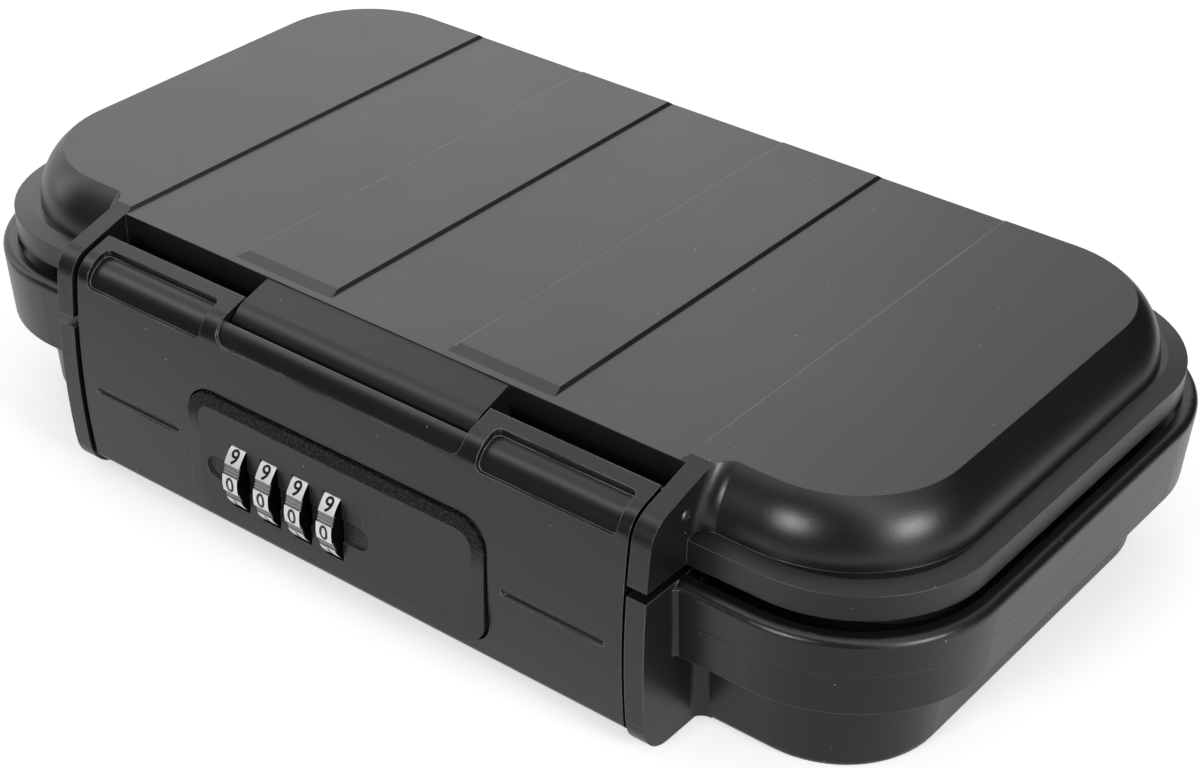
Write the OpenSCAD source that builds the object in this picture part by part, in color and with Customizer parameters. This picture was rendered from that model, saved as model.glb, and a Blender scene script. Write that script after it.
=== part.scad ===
// Combination lock box: a shallow moulded case with a rear-hinged lid and a
// swing-down front latch that carries a four-wheel combination lock.
// Millimetres, +X right, -Y front, +Z up. Origin: middle of the box's bounds, on the floor.

/* [Case] */
// Width over the base rim at half its height
case_w = 212; // [200:1:240]
// Depth over the base rim at half its height, without latch and hinge
case_d = 115; // [105:1:140]
// Corner radius of the rim, seen from above
corner_r = 27; // [24:0.5:32]
// Height of the rim band's lower edge above the floor
rim_z = 17.2; // [15:0.2:24]
// Height of the rim band
rim_h = 14.4; // [13:0.2:20]
// Radius on the rim's outer top edge
rim_round = 1.5; // [0.8:0.1:1.8]
// How much wider the rim is at its top than at its lower edge, per side
rim_lean = 0.9; // [0:0.1:1.4]
// Distance from the case's side in to the lower body, at the rim's lower edge
body_in = 6.7; // [6.2:0.1:7]
// Corner radius of the lower body
body_r = 19.7; // [17:0.1:22]
// How far the lower body leans in from the rim to the floor
body_lean = 1.2; // [0.6:0.1:2]
// Radius of the bottom edge
foot_r = 1.8; // [1:0.1:2.4]
// Wall of the base
base_wall = 2.4; // [2:0.1:3]
// Floor of the base
floor_t = 2.6; // [2:0.1:4]

/* [Seal] */
// Height of the shelf that carries the seal, above the rim's lower edge
shelf_up = 8.4; // [6:0.2:9]
// Thickness of the shelf
shelf_t = 2.4; // [2:0.1:3]
// Distance from the case's side to the outside of the seal
seal_side_in = 6; // [5:0.1:8]
// Distance from the case's front and back to the outside of the seal
seal_end_in = 12.4; // [12:0.1:15]
// Corner radius of the seal's outside
seal_r = 16; // [12:0.5:22]
// Width of the seal
seal_w = 2.2; // [1.8:0.1:3]
// Height of the seal
seal_h = 2; // [1.5:0.1:2.4]

/* [Lid] */
// Gap between the rim and the lid's skirt
part_gap = 2; // [1:0.1:2.5]
// Height of the lid's skirt
skirt_h = 4.5; // [4:0.1:7]
// Distance from the case's side in to the skirt
skirt_in = 2.4; // [2.3:0.1:3.5]
// Rise of the ledge from its edge in to the dome
ledge_rise = 0.7; // [0.4:0.1:1.2]
// Distance from the case's side in to the foot of the dome
dome_in = 5.8; // [5:0.1:7]
// Height of the dome's curved side
dome_h = 9.85; // [9:0.05:13]
// How far the dome's side runs out from its crisp top edge
dome_out = 4.5; // [3.5:0.1:6]
// Corner radius of the dome's top edge
top_r = 20.5; // [18:0.5:24]
// Wall of the lid
lid_wall = 2.4; // [2:0.1:3]
// Height of the raised bands on top
band_h = 0.55; // [0.3:0.05:1]
// Width of each recessed band at its top
groove_w = 26.9; // [21:0.1:31]
// How far the recessed bands' side walls lean outwards
groove_lean = 0.65; // [0:0.05:1]
// Sideways offset of the recessed bands
groove_off = -0.5; // [-1:0.05:1]
// Distance between the recessed bands' centres
groove_pitch = 48; // [44:0.5:54]
// Length of the slope at the front of the raised bands
band_slope = 2.4; // [1.5:0.1:8]

/* [Front bay] */
// Half width of the bay between the cheeks
bay_half = 61.6; // [58:0.2:70]
// Thickness of the cheeks
cheek_t = 3.7; // [3:0.1:5]
// How far the cheeks stand out from the case's front
cheek_out = 8; // [7.6:0.1:9]
// Distance from the case's front in to the lid's bay wall
lid_bay_in = 6.5; // [6:0.1:7.5]
// Distance from the case's front in to the base's bay wall
base_bay_in = 8.8; // [8.6:0.1:10]
// Height of the cheeks' lower edge
foot_z = 0.3; // [0.3:0.1:1]
// Radius of the cheeks' lower front corner
cheek_foot_r = 6.3; // [4:0.1:7]
// Radius of the fillet between cheeks and lower body
body_fillet_r = 2.6; // [2:0.1:3]
// Radius of the fillet between cheeks and rim
rim_fillet_r = 1.2; // [0.8:0.1:1.6]
// Radius of the fillet between cheeks and dome
dome_fillet_r = 3.2; // [2.6:0.1:3.4]
// Radius of the shoulder of cheeks and latch
shoulder_r = 5.3; // [4:0.1:6]
// Drop from the lid's top to the shoulder's centre
shoulder_down = 7.95; // [7:0.05:9]
// Radius of the front's slight bow
bow_r = 150; // [130:5:400]
// Height of the bow's foremost line
bow_z = 24; // [18:1:30]
// Half width of the lid's middle knuckle
tongue_half = 26.6; // [20:0.2:32]
// How far that knuckle's shoulder stands out from the case's front
tongue_out = 4.1; // [3.6:0.1:4.6]
// Radius of the lid's middle knuckle about the pin
tongue_r = 5.2; // [4.6:0.1:5.6]

/* [Rear hinge] */
// Distance of the hinge axis behind the rim
hinge_out = 4.2; // [4.1:0.1:5]
// Radius of the hinge knuckles
knuckle_r = 3.3; // [3:0.1:3.4]
// Distance of each hinge from the middle
hinge_x = 56; // [40:1:66]
// Length of the lid's knuckle
lid_knuckle_w = 16; // [12:0.5:24]
// Length of each base knuckle
base_knuckle_w = 8; // [6:0.5:12]
// Side gap between knuckles
knuckle_gap = 0.4; // [0.3:0.05:0.8]
// Diameter of the hinge pins
hinge_pin_d = 2.6; // [2:0.1:3]

/* [Latch] */
// How far the latch's face stands out from the case's front
latch_out = 7.5; // [7.3:0.1:7.8]
// Height of the latch's lower edge
latch_foot_z = 3; // [2.4:0.1:4]
// Side gap between the latch and the cheeks
latch_gap = 0.9; // [0.5:0.1:1.5]
// Wall of the latch
latch_wall = 2.2; // [1.8:0.1:2.6]
// Distance of the pin from the case's front
pivot_in = 1.75; // [1.5:0.05:2]
// Drop from the lid's top to the pin
pivot_down = 5.6; // [5.4:0.05:6]
// Diameter of the latch pin
pivot_d = 2; // [1.8:0.1:2.6]
// Radius of the latch's knuckles behind the pin
latch_knuckle_r = 2.8; // [2.6:0.1:3.4]
// How far the latch's top lies under the cheeks' slope
pillow_down = 0.35; // [0.1:0.05:0.6]
// Gap between the latch and the lid's middle knuckle
tongue_gap = 0.5; // [0.4:0.05:0.9]
// Height of the top of the hollow inside the latch
latch_hollow_z = 35.6; // [34:0.1:37]
// Height of the rear cover's top edge
cover_top_z = 30.4; // [29:0.1:31]
// Thickness of the rear cover
cover_t = 1.4; // [1:0.1:1.5]
// Gap between the rear cover and the base's bay wall
cover_gap = 0.6; // [0.4:0.1:0.8]
// Height of the side grooves above the latch's lower edge
side_groove_up = 17.1; // [15:0.1:19]
// Width of the side grooves
side_groove_h = 1.7; // [1.2:0.1:2.2]
// Inner end of the side grooves
side_groove_x0 = 36.4; // [36:0.1:40]
// Outer end of the side grooves
side_groove_x1 = 57.4; // [50:0.1:58]
// Depth of the side grooves
side_groove_d = 0.7; // [0.4:0.1:1]
// Inner end of the embossed pads
pad_x0 = 30.6; // [29:0.1:33]
// Outer end of the embossed pads
pad_x1 = 58.4; // [52:0.1:59]
// Depth of the pads' recess at its lower end
pad_d = 0.6; // [0.4:0.05:0.8]
// Depth of the pads' recess at its rear end
pad_rear_d = 1.7; // [1.2:0.1:2]
// Radius of the pads' corners
pad_r = 1.2; // [0.8:0.1:2]
// Depth of the shallow relief in front of the lid's middle knuckle
relief_d = 0.35; // [0.2:0.05:0.5]
// Height of the relief's lower edge above the shoulder's centre
relief_up = 0.4; // [0:0.1:1]
// Radius of the relief's lower corners
relief_r = 2.5; // [1:0.5:4]

/* [Lock panel] */
// Half width of the panel
panel_half = 33.3; // [32.5:0.1:34]
// Half height of the panel
panel_half_h = 12.5; // [12:0.1:12.8]
// Corner radius of the panel
panel_r = 5.6; // [3.5:0.1:7]
// How far the panel's face stands out from the latch's face
panel_out = 0.6; // [0.3:0.1:1.5]
// Width of the panel's sloping border
panel_border = 2.6; // [1.5:0.1:3.4]
// Drop of the border
panel_drop = 0.15; // [0.05:0.05:1]
// Thickness of the panel behind its face
panel_t = 4; // [3.5:0.1:4.6]
// Gap round the panel
panel_gap = 0.4; // [0.3:0.1:0.9]
// Width of the flange that holds the panel behind the latch's skin
flange_w = 2.2; // [1.5:0.1:3]
// Height of the pointer recess behind the outer dials
index_h = 4.7; // [3:0.1:6]
// Depth of the pointer recess
index_d = 0.4; // [0.2:0.1:0.8]

/* [Dials] */
// Distance between the dials
dial_pitch = 7.3; // [7.2:0.05:7.6]
// Offset of the dials' middle from the latch's middle
dial_x = -10.3; // [-10.6:0.1:-10]
// Height of the dials' axis above the latch's lower edge
dial_up = 14; // [13.8:0.1:14.2]
// Distance of the dials' axis ahead of the case's front
dial_out = 2.2; // [2.1:0.05:2.3]
// Radius of the dials
dial_r = 8.4; // [8.2:0.05:8.5]
// Width of a dial
dial_w = 3.5; // [3.3:0.05:3.6]
// Width of a dial slot
slot_w = 4.1; // [4:0.05:4.2]
// Running gap between a dial and its slot
slot_gap = 0.35; // [0.3:0.05:0.5]
// Numbers on a dial
digits = 10; // [6:2:12]
// Depth of the waists between the numbers
waist_d = 0.45; // [0.3:0.05:0.6]
// Width of the waists
waist_w = 1.9; // [1.6:0.1:2.2]
// Radius of the three grip ridges in a waist
ridge_r = 0.25; // [0.2:0.05:0.3]
// Bore of a dial where it turns on its sleeve
dial_bore_r = 4.8; // [4.8:0.05:5]
// Depth of the code notches inside a dial
notch_d = 0.75; // [0.7:0.05:0.9]
// Width of the code notches
notch_w = 1.5; // [1.4:0.05:1.7]

/* [Lock works] */
// Radius of the spindle
spindle_r = 1.9; // [1.7:0.05:2]
// Reach of the spindle's fins from its axis
fin_r = 3.3; // [3:0.05:3.3]
// Width of the fins
fin_w = 1; // [0.8:0.05:1.1]
// Thickness of the fins along the spindle
fin_t = 1; // [0.8:0.05:1]
// Thickness of the leaf spring
leaf_t = 0.3; // [0.2:0.05:0.3]
// Width of the leaf spring's strip
leaf_w = 4.2; // [3.6:0.1:4.6]
// Distance of the strip's rear edge behind the dials' axis
leaf_back = 7.4; // [7.2:0.1:7.6]
// Outer radius of the code sleeves
sleeve_r = 4.7; // [4.6:0.05:4.7]
// Radius of the sleeves' hollow ends
sleeve_hollow_r = 3.6; // [3.6:0.05:3.7]
// Half thickness of the sleeves' web
web_half = 1.7; // [1.5:0.05:1.7]
// Reach of each sleeve to the left of its dial's middle
sleeve_left = 3; // [2.8:0.05:3]
// Width of the lugs on the sleeves
lug_w = 1.2; // [1:0.05:1.3]
// Radius of the neck that the reset fork holds
neck_r = 4.1; // [4:0.05:4.2]
// Radius of the frame's bearings for the spindle
bearing_r = 4.2; // [3.6:0.1:4.4]
// Drop of the reset comb's bar below the spindle's axis
comb_drop = 6.5; // [6.4:0.05:6.6]
// Distance of the bar behind the spindle's axis
comb_back = 6.7; // [6.6:0.05:6.8]
// Thickness of the bar
comb_t = 1.6; // [1.4:0.1:1.6]
// Travel of the bolt
bolt_travel = 7; // [6.9:0.05:7]
// Travel of the reset lever
reset_travel = 2; // [1.9:0.05:2]
// Thickness of the bolt plate
bolt_plate_t = 1.5; // [1.2:0.1:1.5]
// Radius of the bolt's nose
nose_r = 1.3; // [1:0.05:1.4]
// Distance from the base's bay wall to the nose's axis
nose_off = 3.6; // [3.4:0.05:3.8]
// Thickness of the strike's lug
strike_t = 2; // [1.5:0.1:2.5]
// Radial clearance of running fits
fit = 0.1; // [0.05:0.01:0.1]
// Radial clearance of fixed fits
snug = 0.03; // [0.02:0.01:0.05]

/* [Fasteners] */
// Diameter of the screws
screw_d = 2.2; // [2:0.1:2.4]
// Diameter of the screw heads
head_d = 4.4; // [4:0.1:4.8]
// Height of the screw heads
head_h = 1; // [0.8:0.1:1]
// Diameter of the screw bosses
boss_d = 6; // [5:0.1:6.6]
// Distance of the cover's screws from the latch's ends
screw_edge = 8.7; // [8:0.1:12]
// Half distance between the strike's screws
strike_screw_up = 6; // [5.5:0.1:6.2]
// Depth of the strike's screws
strike_screw_l = 3; // [2.6:0.1:4]

/* [Hidden] */
$fn = 64;
tiny = 0.01;
sink = 0.03;
big = 400;

// Outline of the case
half_w = case_w / 2;
half_d = case_d / 2;
front = -half_d;
mid_x = half_w - corner_r;
mid_y = half_d - corner_r;
body_x = half_w - body_in - body_r;
body_y = half_d - body_in - body_r;

// Heights
rim_top = rim_z + rim_h;
lid_z = rim_top + part_gap;
ledge_z = lid_z + skirt_h;
dome_z = ledge_z + ledge_rise;
top_z = dome_z + dome_h;
peak_z = top_z + band_h;
shelf_z = rim_z + shelf_up;
seal_top = shelf_z + shelf_t + seal_h;
seat_gap = 0.3;

// Dome: corner centres of its top edge, and the radius of its side
dome_x = half_w - dome_in - dome_out - top_r;
dome_y = half_d - dome_in - dome_out - top_r;
dome_side_r = (dome_out * dome_out + dome_h * dome_h) / (2 * dome_out);

// Front bay
cheek_x = bay_half + cheek_t;
lid_bay_y = front + lid_bay_in;
base_bay_y = front + base_bay_in;
cheek_face = front - cheek_out;
land_front = lid_bay_y + 1.5;
land_back = lid_bay_y + band_h * 3.3;
latch_face = front - latch_out;
latch_half = bay_half - latch_gap;
shoulder_z = top_z - shoulder_down;
pivot_y = front + pivot_in;
pivot_z = top_z - pivot_down;
cover_y = base_bay_y - cover_gap;
cover_in = cover_y - cover_t;
latch_back = lid_bay_y - 0.9;
cover_screw_x = latch_half - screw_edge;

// Rear hinge
hinge_y = half_d + hinge_out;
hinge_z = rim_top;
hinge_span = lid_knuckle_w + 2 * (base_knuckle_w + knuckle_gap);

// The box's bounds run from the dials to the hinge
front_reach = half_d + dial_out + dial_r;
rear_reach = hinge_y + knuckle_r;
shift_y = (front_reach - rear_reach) / 2;

// Lock: one node is listed for each of its dials
dial_n = 4;
dial_z = latch_foot_z + dial_up;
dial_y = front - dial_out;
panel_face = latch_face - panel_out;
panel_z = dial_z + 2;
function dial_at(n) = dial_x + (n - (dial_n + 1) / 2) * dial_pitch;
web_gap = 0.3;
fin_from = -web_half - web_gap - fin_t;
neck_from = 2;
neck_to = 3;
sleeve_right = 3.6;
frame_in = dial_r + 0.5;
frame_wall = 1.3;
frame_left = dial_at(1) - sleeve_left - 1.2;
frame_right = dial_at(dial_n) + sleeve_right + reset_travel + 0.9;
bearing_t = 2;
plate_x = frame_right + bearing_t + 0.6;
strike_x = plate_x + bolt_plate_t + bolt_travel + 0.6;
strike_mid = strike_x + strike_t / 2;
spindle_left = frame_left - bearing_t - bolt_travel - 0.6;
spindle_right = plate_x + bolt_plate_t + 1.6;
strike_head_r = screw_d / 2 + 0.8;
plate_half = 3.2;
nose_y = base_bay_y - nose_off;
comb_x0 = frame_left - bearing_t - reset_travel - 0.2;
comb_x1 = frame_right + bearing_t - 0.4;

module block(x0, x1, y0, y1, z0, z1) {
    translate([x0, y0, z0])
        cube([x1 - x0, y1 - y0, z1 - z0]);
}

// Extrudes an outline drawn in (y, z) along X
module along_x(x0, x1) {
    translate([x0, 0, 0])
        rotate([90, 0, 90])
            linear_extrude(x1 - x0)
                children();
}

// Extrudes an outline drawn in (x, z) along Y
module along_y(y0, y1) {
    translate([0, y1, 0])
        rotate([90, 0, 0])
            linear_extrude(y1 - y0)
                children();
}

module rod_x(x0, x1, y, z, r) {
    translate([x0, y, z])
        rotate([0, 90, 0])
            cylinder(h = x1 - x0, r = r);
}

module rod_y(y0, y1, x, z, r) {
    translate([x, y1, z])
        rotate([90, 0, 0])
            cylinder(h = y1 - y0, r = r);
}

module both_sides() {
    children();
    mirror([1, 0, 0])
        children();
}

// Rectangle with round corners, by its half sizes
module round_rect(hx, hy, r) {
    square([2 * (hx - r), 2 * hy], center = true);
    square([2 * hx, 2 * (hy - r)], center = true);
    for (sx = [-1, 1], sy = [-1, 1])
        translate([sx * (hx - r), sy * (hy - r)])
            circle(r);
}

// Upright wall or plate that follows the case's outline, inset from its sides
module case_plate(inset, z0, z1) {
    translate([0, 0, z0])
        linear_extrude(z1 - z0)
            round_rect(half_w - inset, half_d - inset, corner_r - inset);
}

// Plate with the seal's outline, grown outwards by out
module seal_plate(out, z0, z1) {
    translate([0, 0, z0])
        linear_extrude(z1 - z0)
            round_rect(half_w - seal_side_in + out, half_d - seal_end_in + out, seal_r + out);
}

// Sweeps an outline, drawn in (distance from the corner's centre, z), round a rectangle
module sweep(cx, cy, z0, z1) {
    for (q = [0:3]) {
        sx = (q == 0 || q == 3) ? 1 : -1;
        sy = q < 2 ? 1 : -1;
        translate([sx * cx, sy * cy, 0])
            rotate([0, 0, q * 90])
                rotate_extrude(angle = 90)
                    children();
    }
    both_sides()
        translate([cx, cy, 0])
            rotate([90, 0, 0])
                linear_extrude(2 * cy)
                    children();
    for (m = [0, 1])
        mirror([0, m, 0])
            translate([-cx, cy, 0])
                rotate([90, 0, 90])
                    linear_extrude(2 * cx)
                        children();
    block(-cx, cx, -cy, cy, z0, z1);
}

// Half section of the lower body, thinned by t: leans in towards the floor, with a round foot
module tub_section(t, r, z0, z1) {
    function side(z) = body_r - t + body_lean * (z - rim_z) / rim_z;
    polygon([[0, z0], [side(z0 + r) - r, z0], [side(z0 + r), z0 + r], [side(z1), z1], [0, z1]]);
    translate([side(z0 + r) - r, z0 + r])
        circle(r);
}

// Half section of the rim band: leans out towards its rounded top edge
module rim_section() {
    top = corner_r + rim_lean / 2;
    polygon([[0, rim_z], [corner_r - rim_lean / 2, rim_z], [top, rim_top - rim_round],
        [top - rim_round, rim_top], [0, rim_top]]);
    translate([top - rim_round, rim_top - rim_round])
        circle(rim_round);
}

// Dome's half section, thinned by t, from z0 up
module dome_section(t, z0) {
    foot = top_r + dome_out;
    intersection() {
        translate([0, z0])
            square([foot - t, peak_z - t - z0]);
        union() {
            square([foot - dome_side_r, big]);
            square([foot - t, dome_z]);
            translate([foot - dome_side_r, dome_z])
                circle(dome_side_r - t, $fn = 180);
        }
    }
}

module dome(t, z0) {
    sweep(dome_x, dome_y, z0, peak_z - t)
        dome_section(t, z0);
}

// Front profile shared by cheeks and latch, in (y, z): bowed face, round shoulder, and a top
// that slopes up to the lid's bay wall. face is its foremost y, down lowers the top, lift
// raises the shoulder's centre.
module front_profile(face, down, z0, lift = 0) {
    bow_y = face + bow_r;
    cz = shoulder_z - down + lift;
    reach = bow_r - shoulder_r;
    cy = bow_y - sqrt(reach * reach - (cz - bow_z) * (cz - bow_z));
    dy = lid_bay_y - cy;
    dz = top_z - down - cz;
    far = sqrt(dy * dy + dz * dz);
    slope = atan2(dz, dy) - asin(shoulder_r / far);
    touch = [cy - shoulder_r * sin(slope), cz + shoulder_r * cos(slope)];
    tilt = atan2(cz - bow_z, bow_y - cy);
    out = [cy - case_d / 6 * cos(tilt), cz + case_d / 6 * sin(tilt)];
    back = lid_bay_y + case_d / 6;
    intersection() {
        translate([bow_y, bow_z])
            circle(bow_r, $fn = 720);
        union() {
            polygon([[cy, cz], out, [out[0], z0], [back, z0], [back, cz]]);
            polygon([[cy, cz], touch, [lid_bay_y, top_z - down], [back, top_z - down], [back, cz]]);
            translate([cy, cz])
                circle(shoulder_r);
        }
    }
}

// Rounded lower front corner taken off a profile whose face lies near face
module foot_cut(face, z0, r) {
    difference() {
        translate([face - 2, z0 - 1])
            square([r + 2, r + 1]);
        translate([face + r, z0 + r])
            circle(r);
    }
}

module base_cheek_profile() {
    difference() {
        front_profile(cheek_face, 0, foot_z);
        translate([-big, rim_top])
            square([2 * big, big]);
        foot_cut(cheek_face + 1.1, foot_z, cheek_foot_r);
    }
}

// Fillet between a cheek's outer face and a wall that passes through (y, z) and leans by lean
module cheek_fillet(y, z, z0, z1, r, lean) {
    intersection() {
        translate([cheek_x, y, z])
            rotate([lean, 0, 0])
                difference() {
                    block(-1, r, -r, 1, z0 - z - 2, z1 - z + 2);
                    translate([r - sink, -r + sink, z0 - z - 3])
                        cylinder(h = z1 - z0 + 6, r = r);
                }
        block(0, big, -big, big, z0, z1);
    }
}

// Fillet between a cheek and the dome's curved side
module dome_fillet(r) {
    foot = dome_y + top_r + dome_out - dome_side_r;
    intersection() {
        translate([0, -foot, dome_z])
            rotate([0, 90, 0])
                rotate([0, 0, 180])
                    rotate_extrude(angle = 90, $fn = 180)
                        difference() {
                            translate([dome_side_r - 1, cheek_x - 1])
                                square(r + 1);
                            translate([dome_side_r + r - sink, cheek_x + r - sink])
                                circle(r, $fn = 64);
                        }
        along_x(cheek_x - 1, cheek_x + r + 1) {
            front_profile(cheek_face, 0, lid_z);
            translate([lid_bay_y, lid_z])
                square([lid_bay_in, peak_z - lid_z]);
        }
        block(cheek_x - 1, cheek_x + r + 1, -big, lid_bay_y + 5, 0, peak_z);
        difference() {
            block(cheek_x - 2, cheek_x + r + 2, -big, lid_bay_y + 6, 0, big);
            land_end(cheek_x - 3, cheek_x + r + 3, lid_bay_y, land_back);
        }
    }
}

module base_knuckles() {
    for (s = [-1, 1])
        for (e = [-1, 1]) {
            x0 = s * hinge_x + e * (lid_knuckle_w + base_knuckle_w) / 2 + e * knuckle_gap
                - base_knuckle_w / 2;
            rod_x(x0, x0 + base_knuckle_w, hinge_y, hinge_z, knuckle_r);
            along_x(x0, x0 + base_knuckle_w)
                polygon([[half_d - 1, hinge_z - 12], [half_d, hinge_z - 12],
                    [hinge_y + knuckle_r * 0.7, hinge_z - knuckle_r * 0.7],
                    [hinge_y, hinge_z], [half_d - 1, hinge_z]]);
        }
}

module bay_front() {
    block(-cheek_x, cheek_x, -big, base_bay_y + base_wall, -1, big);
}

module base_tray() {
    shelf_top = shelf_z + shelf_t;
    color("#2b2b2c")
        translate([0, shift_y, 0])
            difference() {
                union() {
                    difference() {
                        union() {
                            difference() {
                                sweep(mid_x, mid_y, rim_z, rim_top)
                                    rim_section();
                                case_plate(base_wall, rim_z - 1, shelf_z);
                            }
                            sweep(body_x, body_y, 0, shelf_z + 1)
                                tub_section(0, foot_r, 0, shelf_z + 1);
                        }
                        block(-bay_half, bay_half, -big, base_bay_y, -1, big);
                        difference() {
                            sweep(body_x, body_y, floor_t, shelf_z)
                                tub_section(base_wall, 1.2, floor_t, shelf_z);
                            bay_front();
                        }
                        difference() {
                            case_plate(base_wall, shelf_top, big);
                            bay_front();
                        }
                        seal_plate(-seal_w - 1.5, shelf_z - 1, big);
                    }
                    both_sides() {
                        along_x(bay_half, cheek_x)
                            difference() {
                                base_cheek_profile();
                                translate([base_bay_y + base_wall, -1])
                                    square([big, big]);
                            }
                        cheek_fillet(front, (rim_z + rim_top) / 2, rim_z, rim_top - rim_round * 0.7,
                            rim_fillet_r, atan(rim_lean / (rim_h - rim_round)));
                        cheek_fillet(-body_y - body_r, rim_z, foot_r * 0.4, rim_z + tiny,
                            body_fillet_r, atan(body_lean / rim_z));
                    }
                    base_knuckles();
                    for (s = [-1, 1])
                        rod_y(base_bay_y + 1, base_bay_y + strike_screw_l + 1, strike_mid,
                            dial_z + s * strike_screw_up, screw_d / 2 + 1.4);
                }
                rod_x(-big, big, hinge_y, hinge_z, hinge_pin_d / 2 + snug);
                strike_plate(fit, 1);
                for (s = [-1, 1])
                    rod_y(base_bay_y - 1, base_bay_y + strike_screw_l + 0.1, strike_mid,
                        dial_z + s * strike_screw_up, screw_d / 2 + snug);
            }
}

module seal_ring() {
    color("#3a3a38")
        translate([0, shift_y, 0])
            difference() {
                seal_plate(0, shelf_z + shelf_t, seal_top);
                seal_plate(-seal_w, shelf_z, big);
            }
}

// Front end of the lands between the bands: falls from peak_z at y1 to top_z at y0
module land_end(x0, x1, y0, y1) {
    along_x(x0, x1)
        polygon([[-big, top_z], [y0, top_z], [y1, peak_z], [y1, big], [-big, big]]);
}

module lid_grooves() {
    low = groove_w / 2 - groove_lean;
    high = groove_w / 2 + groove_lean;
    for (k = [-1:1])
        translate([k * groove_pitch + groove_off, half_d, 0])
            rotate([90, 0, 0])
                linear_extrude(half_d - lid_bay_y + 1)
                    polygon([[-low, top_z], [low, top_z], [high, top_z + 2 * band_h],
                        [-high, top_z + 2 * band_h]]);
    land_end(-cheek_x - 5, cheek_x + 5, lid_bay_y, land_back);
    land_end(-groove_pitch, groove_pitch, land_front, land_front + band_slope);
}

module lid_knuckles() {
    for (s = [-1, 1]) {
        x0 = s * hinge_x - lid_knuckle_w / 2;
        rod_x(x0, x0 + lid_knuckle_w, hinge_y, hinge_z, knuckle_r);
        along_x(x0, x0 + lid_knuckle_w)
            polygon([[half_d - skirt_in - 1, ledge_z - 0.6], [half_d - skirt_in, ledge_z - 0.6],
                [hinge_y + knuckle_r * 0.5, hinge_z + knuckle_r * 0.87],
                [hinge_y, hinge_z], [hinge_y - knuckle_r * 0.98, hinge_z + 0.6],
                [half_d - skirt_in - 1, hinge_z + 0.6]]);
    }
}

// Middle knuckle of the lid, between the two halves of the latch's hinge
module tongue_profile() {
    intersection() {
        front_profile(front - tongue_out, pillow_down, pivot_z - tongue_r, 1.1);
        union() {
            translate([pivot_y, pivot_z])
                circle(tongue_r);
            translate([pivot_y, pivot_z - 2])
                square([tongue_r + lid_bay_in + 10, tongue_r + 10]);
        }
    }
}

module lid_shell() {
    skirt_wall = 2.2;
    inner_y = lid_bay_y + lid_wall;
    color("#2d2d2e")
        translate([0, shift_y, 0])
            difference() {
                union() {
                    difference() {
                        union() {
                            dome(0, lid_z + 0.5);
                            sweep(mid_x, mid_y, lid_z, dome_z)
                                polygon([[0, lid_z], [corner_r - skirt_in, lid_z],
                                    [corner_r - skirt_in, ledge_z],
                                    [corner_r - dome_in, dome_z], [0, dome_z]]);
                            seal_plate(0, seal_top + seat_gap, lid_z + 1);
                            block(-cheek_x, cheek_x, lid_bay_y, lid_bay_y + 12, lid_z, peak_z);
                        }
                        block(-bay_half, bay_half, -big, lid_bay_y, -1, big);
                        difference() {
                            dome(lid_wall, ledge_z - 1);
                            block(-cheek_x, cheek_x, -big, inner_y, -1, big);
                        }
                        difference() {
                            case_plate(skirt_in + skirt_wall, lid_z - 1, ledge_z - lid_wall);
                            seal_plate(0, 0, big);
                            block(-cheek_x, cheek_x, -big, inner_y, -1, big);
                        }
                        seal_plate(-seal_w, 0, ledge_z);
                        lid_grooves();
                    }
                    both_sides() {
                        along_x(bay_half, cheek_x)
                            difference() {
                                front_profile(cheek_face, 0, lid_z);
                                translate([inner_y, -1])
                                    square([big, big]);
                            }
                        dome_fillet(dome_fillet_r);
                    }
                    along_x(-tongue_half, tongue_half)
                        difference() {
                            tongue_profile();
                            translate([inner_y, -1])
                                square([big, big]);
                        }
                    lid_knuckles();
                }
                rod_x(-cheek_x - 5, cheek_x + 5, pivot_y, pivot_z, pivot_d / 2 + snug);
                rod_x(-big, big, hinge_y, hinge_z, hinge_pin_d / 2 + fit);
            }
}

module hinge_pins() {
    color("silver")
        translate([0, shift_y, 0])
            for (s = [-1, 1])
                rod_x(s * hinge_x - hinge_span / 2, s * hinge_x + hinge_span / 2, hinge_y, hinge_z,
                    hinge_pin_d / 2);
}

module latch_pin() {
    r = pivot_d / 2;
    end = cheek_x + 0.2;
    color("silver")
        translate([0, shift_y, 0])
            translate([0, pivot_y, pivot_z])
                rotate([0, 90, 0])
                    rotate_extrude()
                        polygon([[0, -end], [r * 0.5, 0.08 - end], [r * 0.85, 0.25 - end],
                            [r, 0.5 - end], [r, end - 0.5], [r * 0.85, end - 0.25],
                            [r * 0.5, end - 0.08], [0, end]]);
}

// Outline of the latch's solid, in (y, z)
module latch_profile() {
    difference() {
        intersection() {
            front_profile(latch_face, pillow_down, latch_foot_z);
            union() {
                translate([-big, latch_foot_z])
                    square([big + cover_in, cover_top_z - latch_foot_z]);
                translate([-big, latch_foot_z])
                    square([big + latch_back, pivot_z - latch_foot_z]);
                translate([-big, latch_foot_z])
                    square([big + pivot_y - 0.3, big]);
                translate([pivot_y, pivot_z])
                    circle(latch_knuckle_r);
            }
        }
        foot_cut(latch_face + 1.1, latch_foot_z, 2.5);
    }
}

// Takes off the latch's front above z0 and ahead of y1, inside an outline drawn in (x, z), down
// to a face that lies d behind the latch's and deep under its top
module shoulder_recess(z0, y1, d, deep) {
    intersection() {
        along_y(-big, y1)
            children();
        along_x(-latch_half, latch_half)
            difference() {
                translate([-big, z0])
                    square([big + y1, big]);
                front_profile(latch_face + d, pillow_down + deep, 0, (deep - d) / 2);
            }
    }
}

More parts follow.
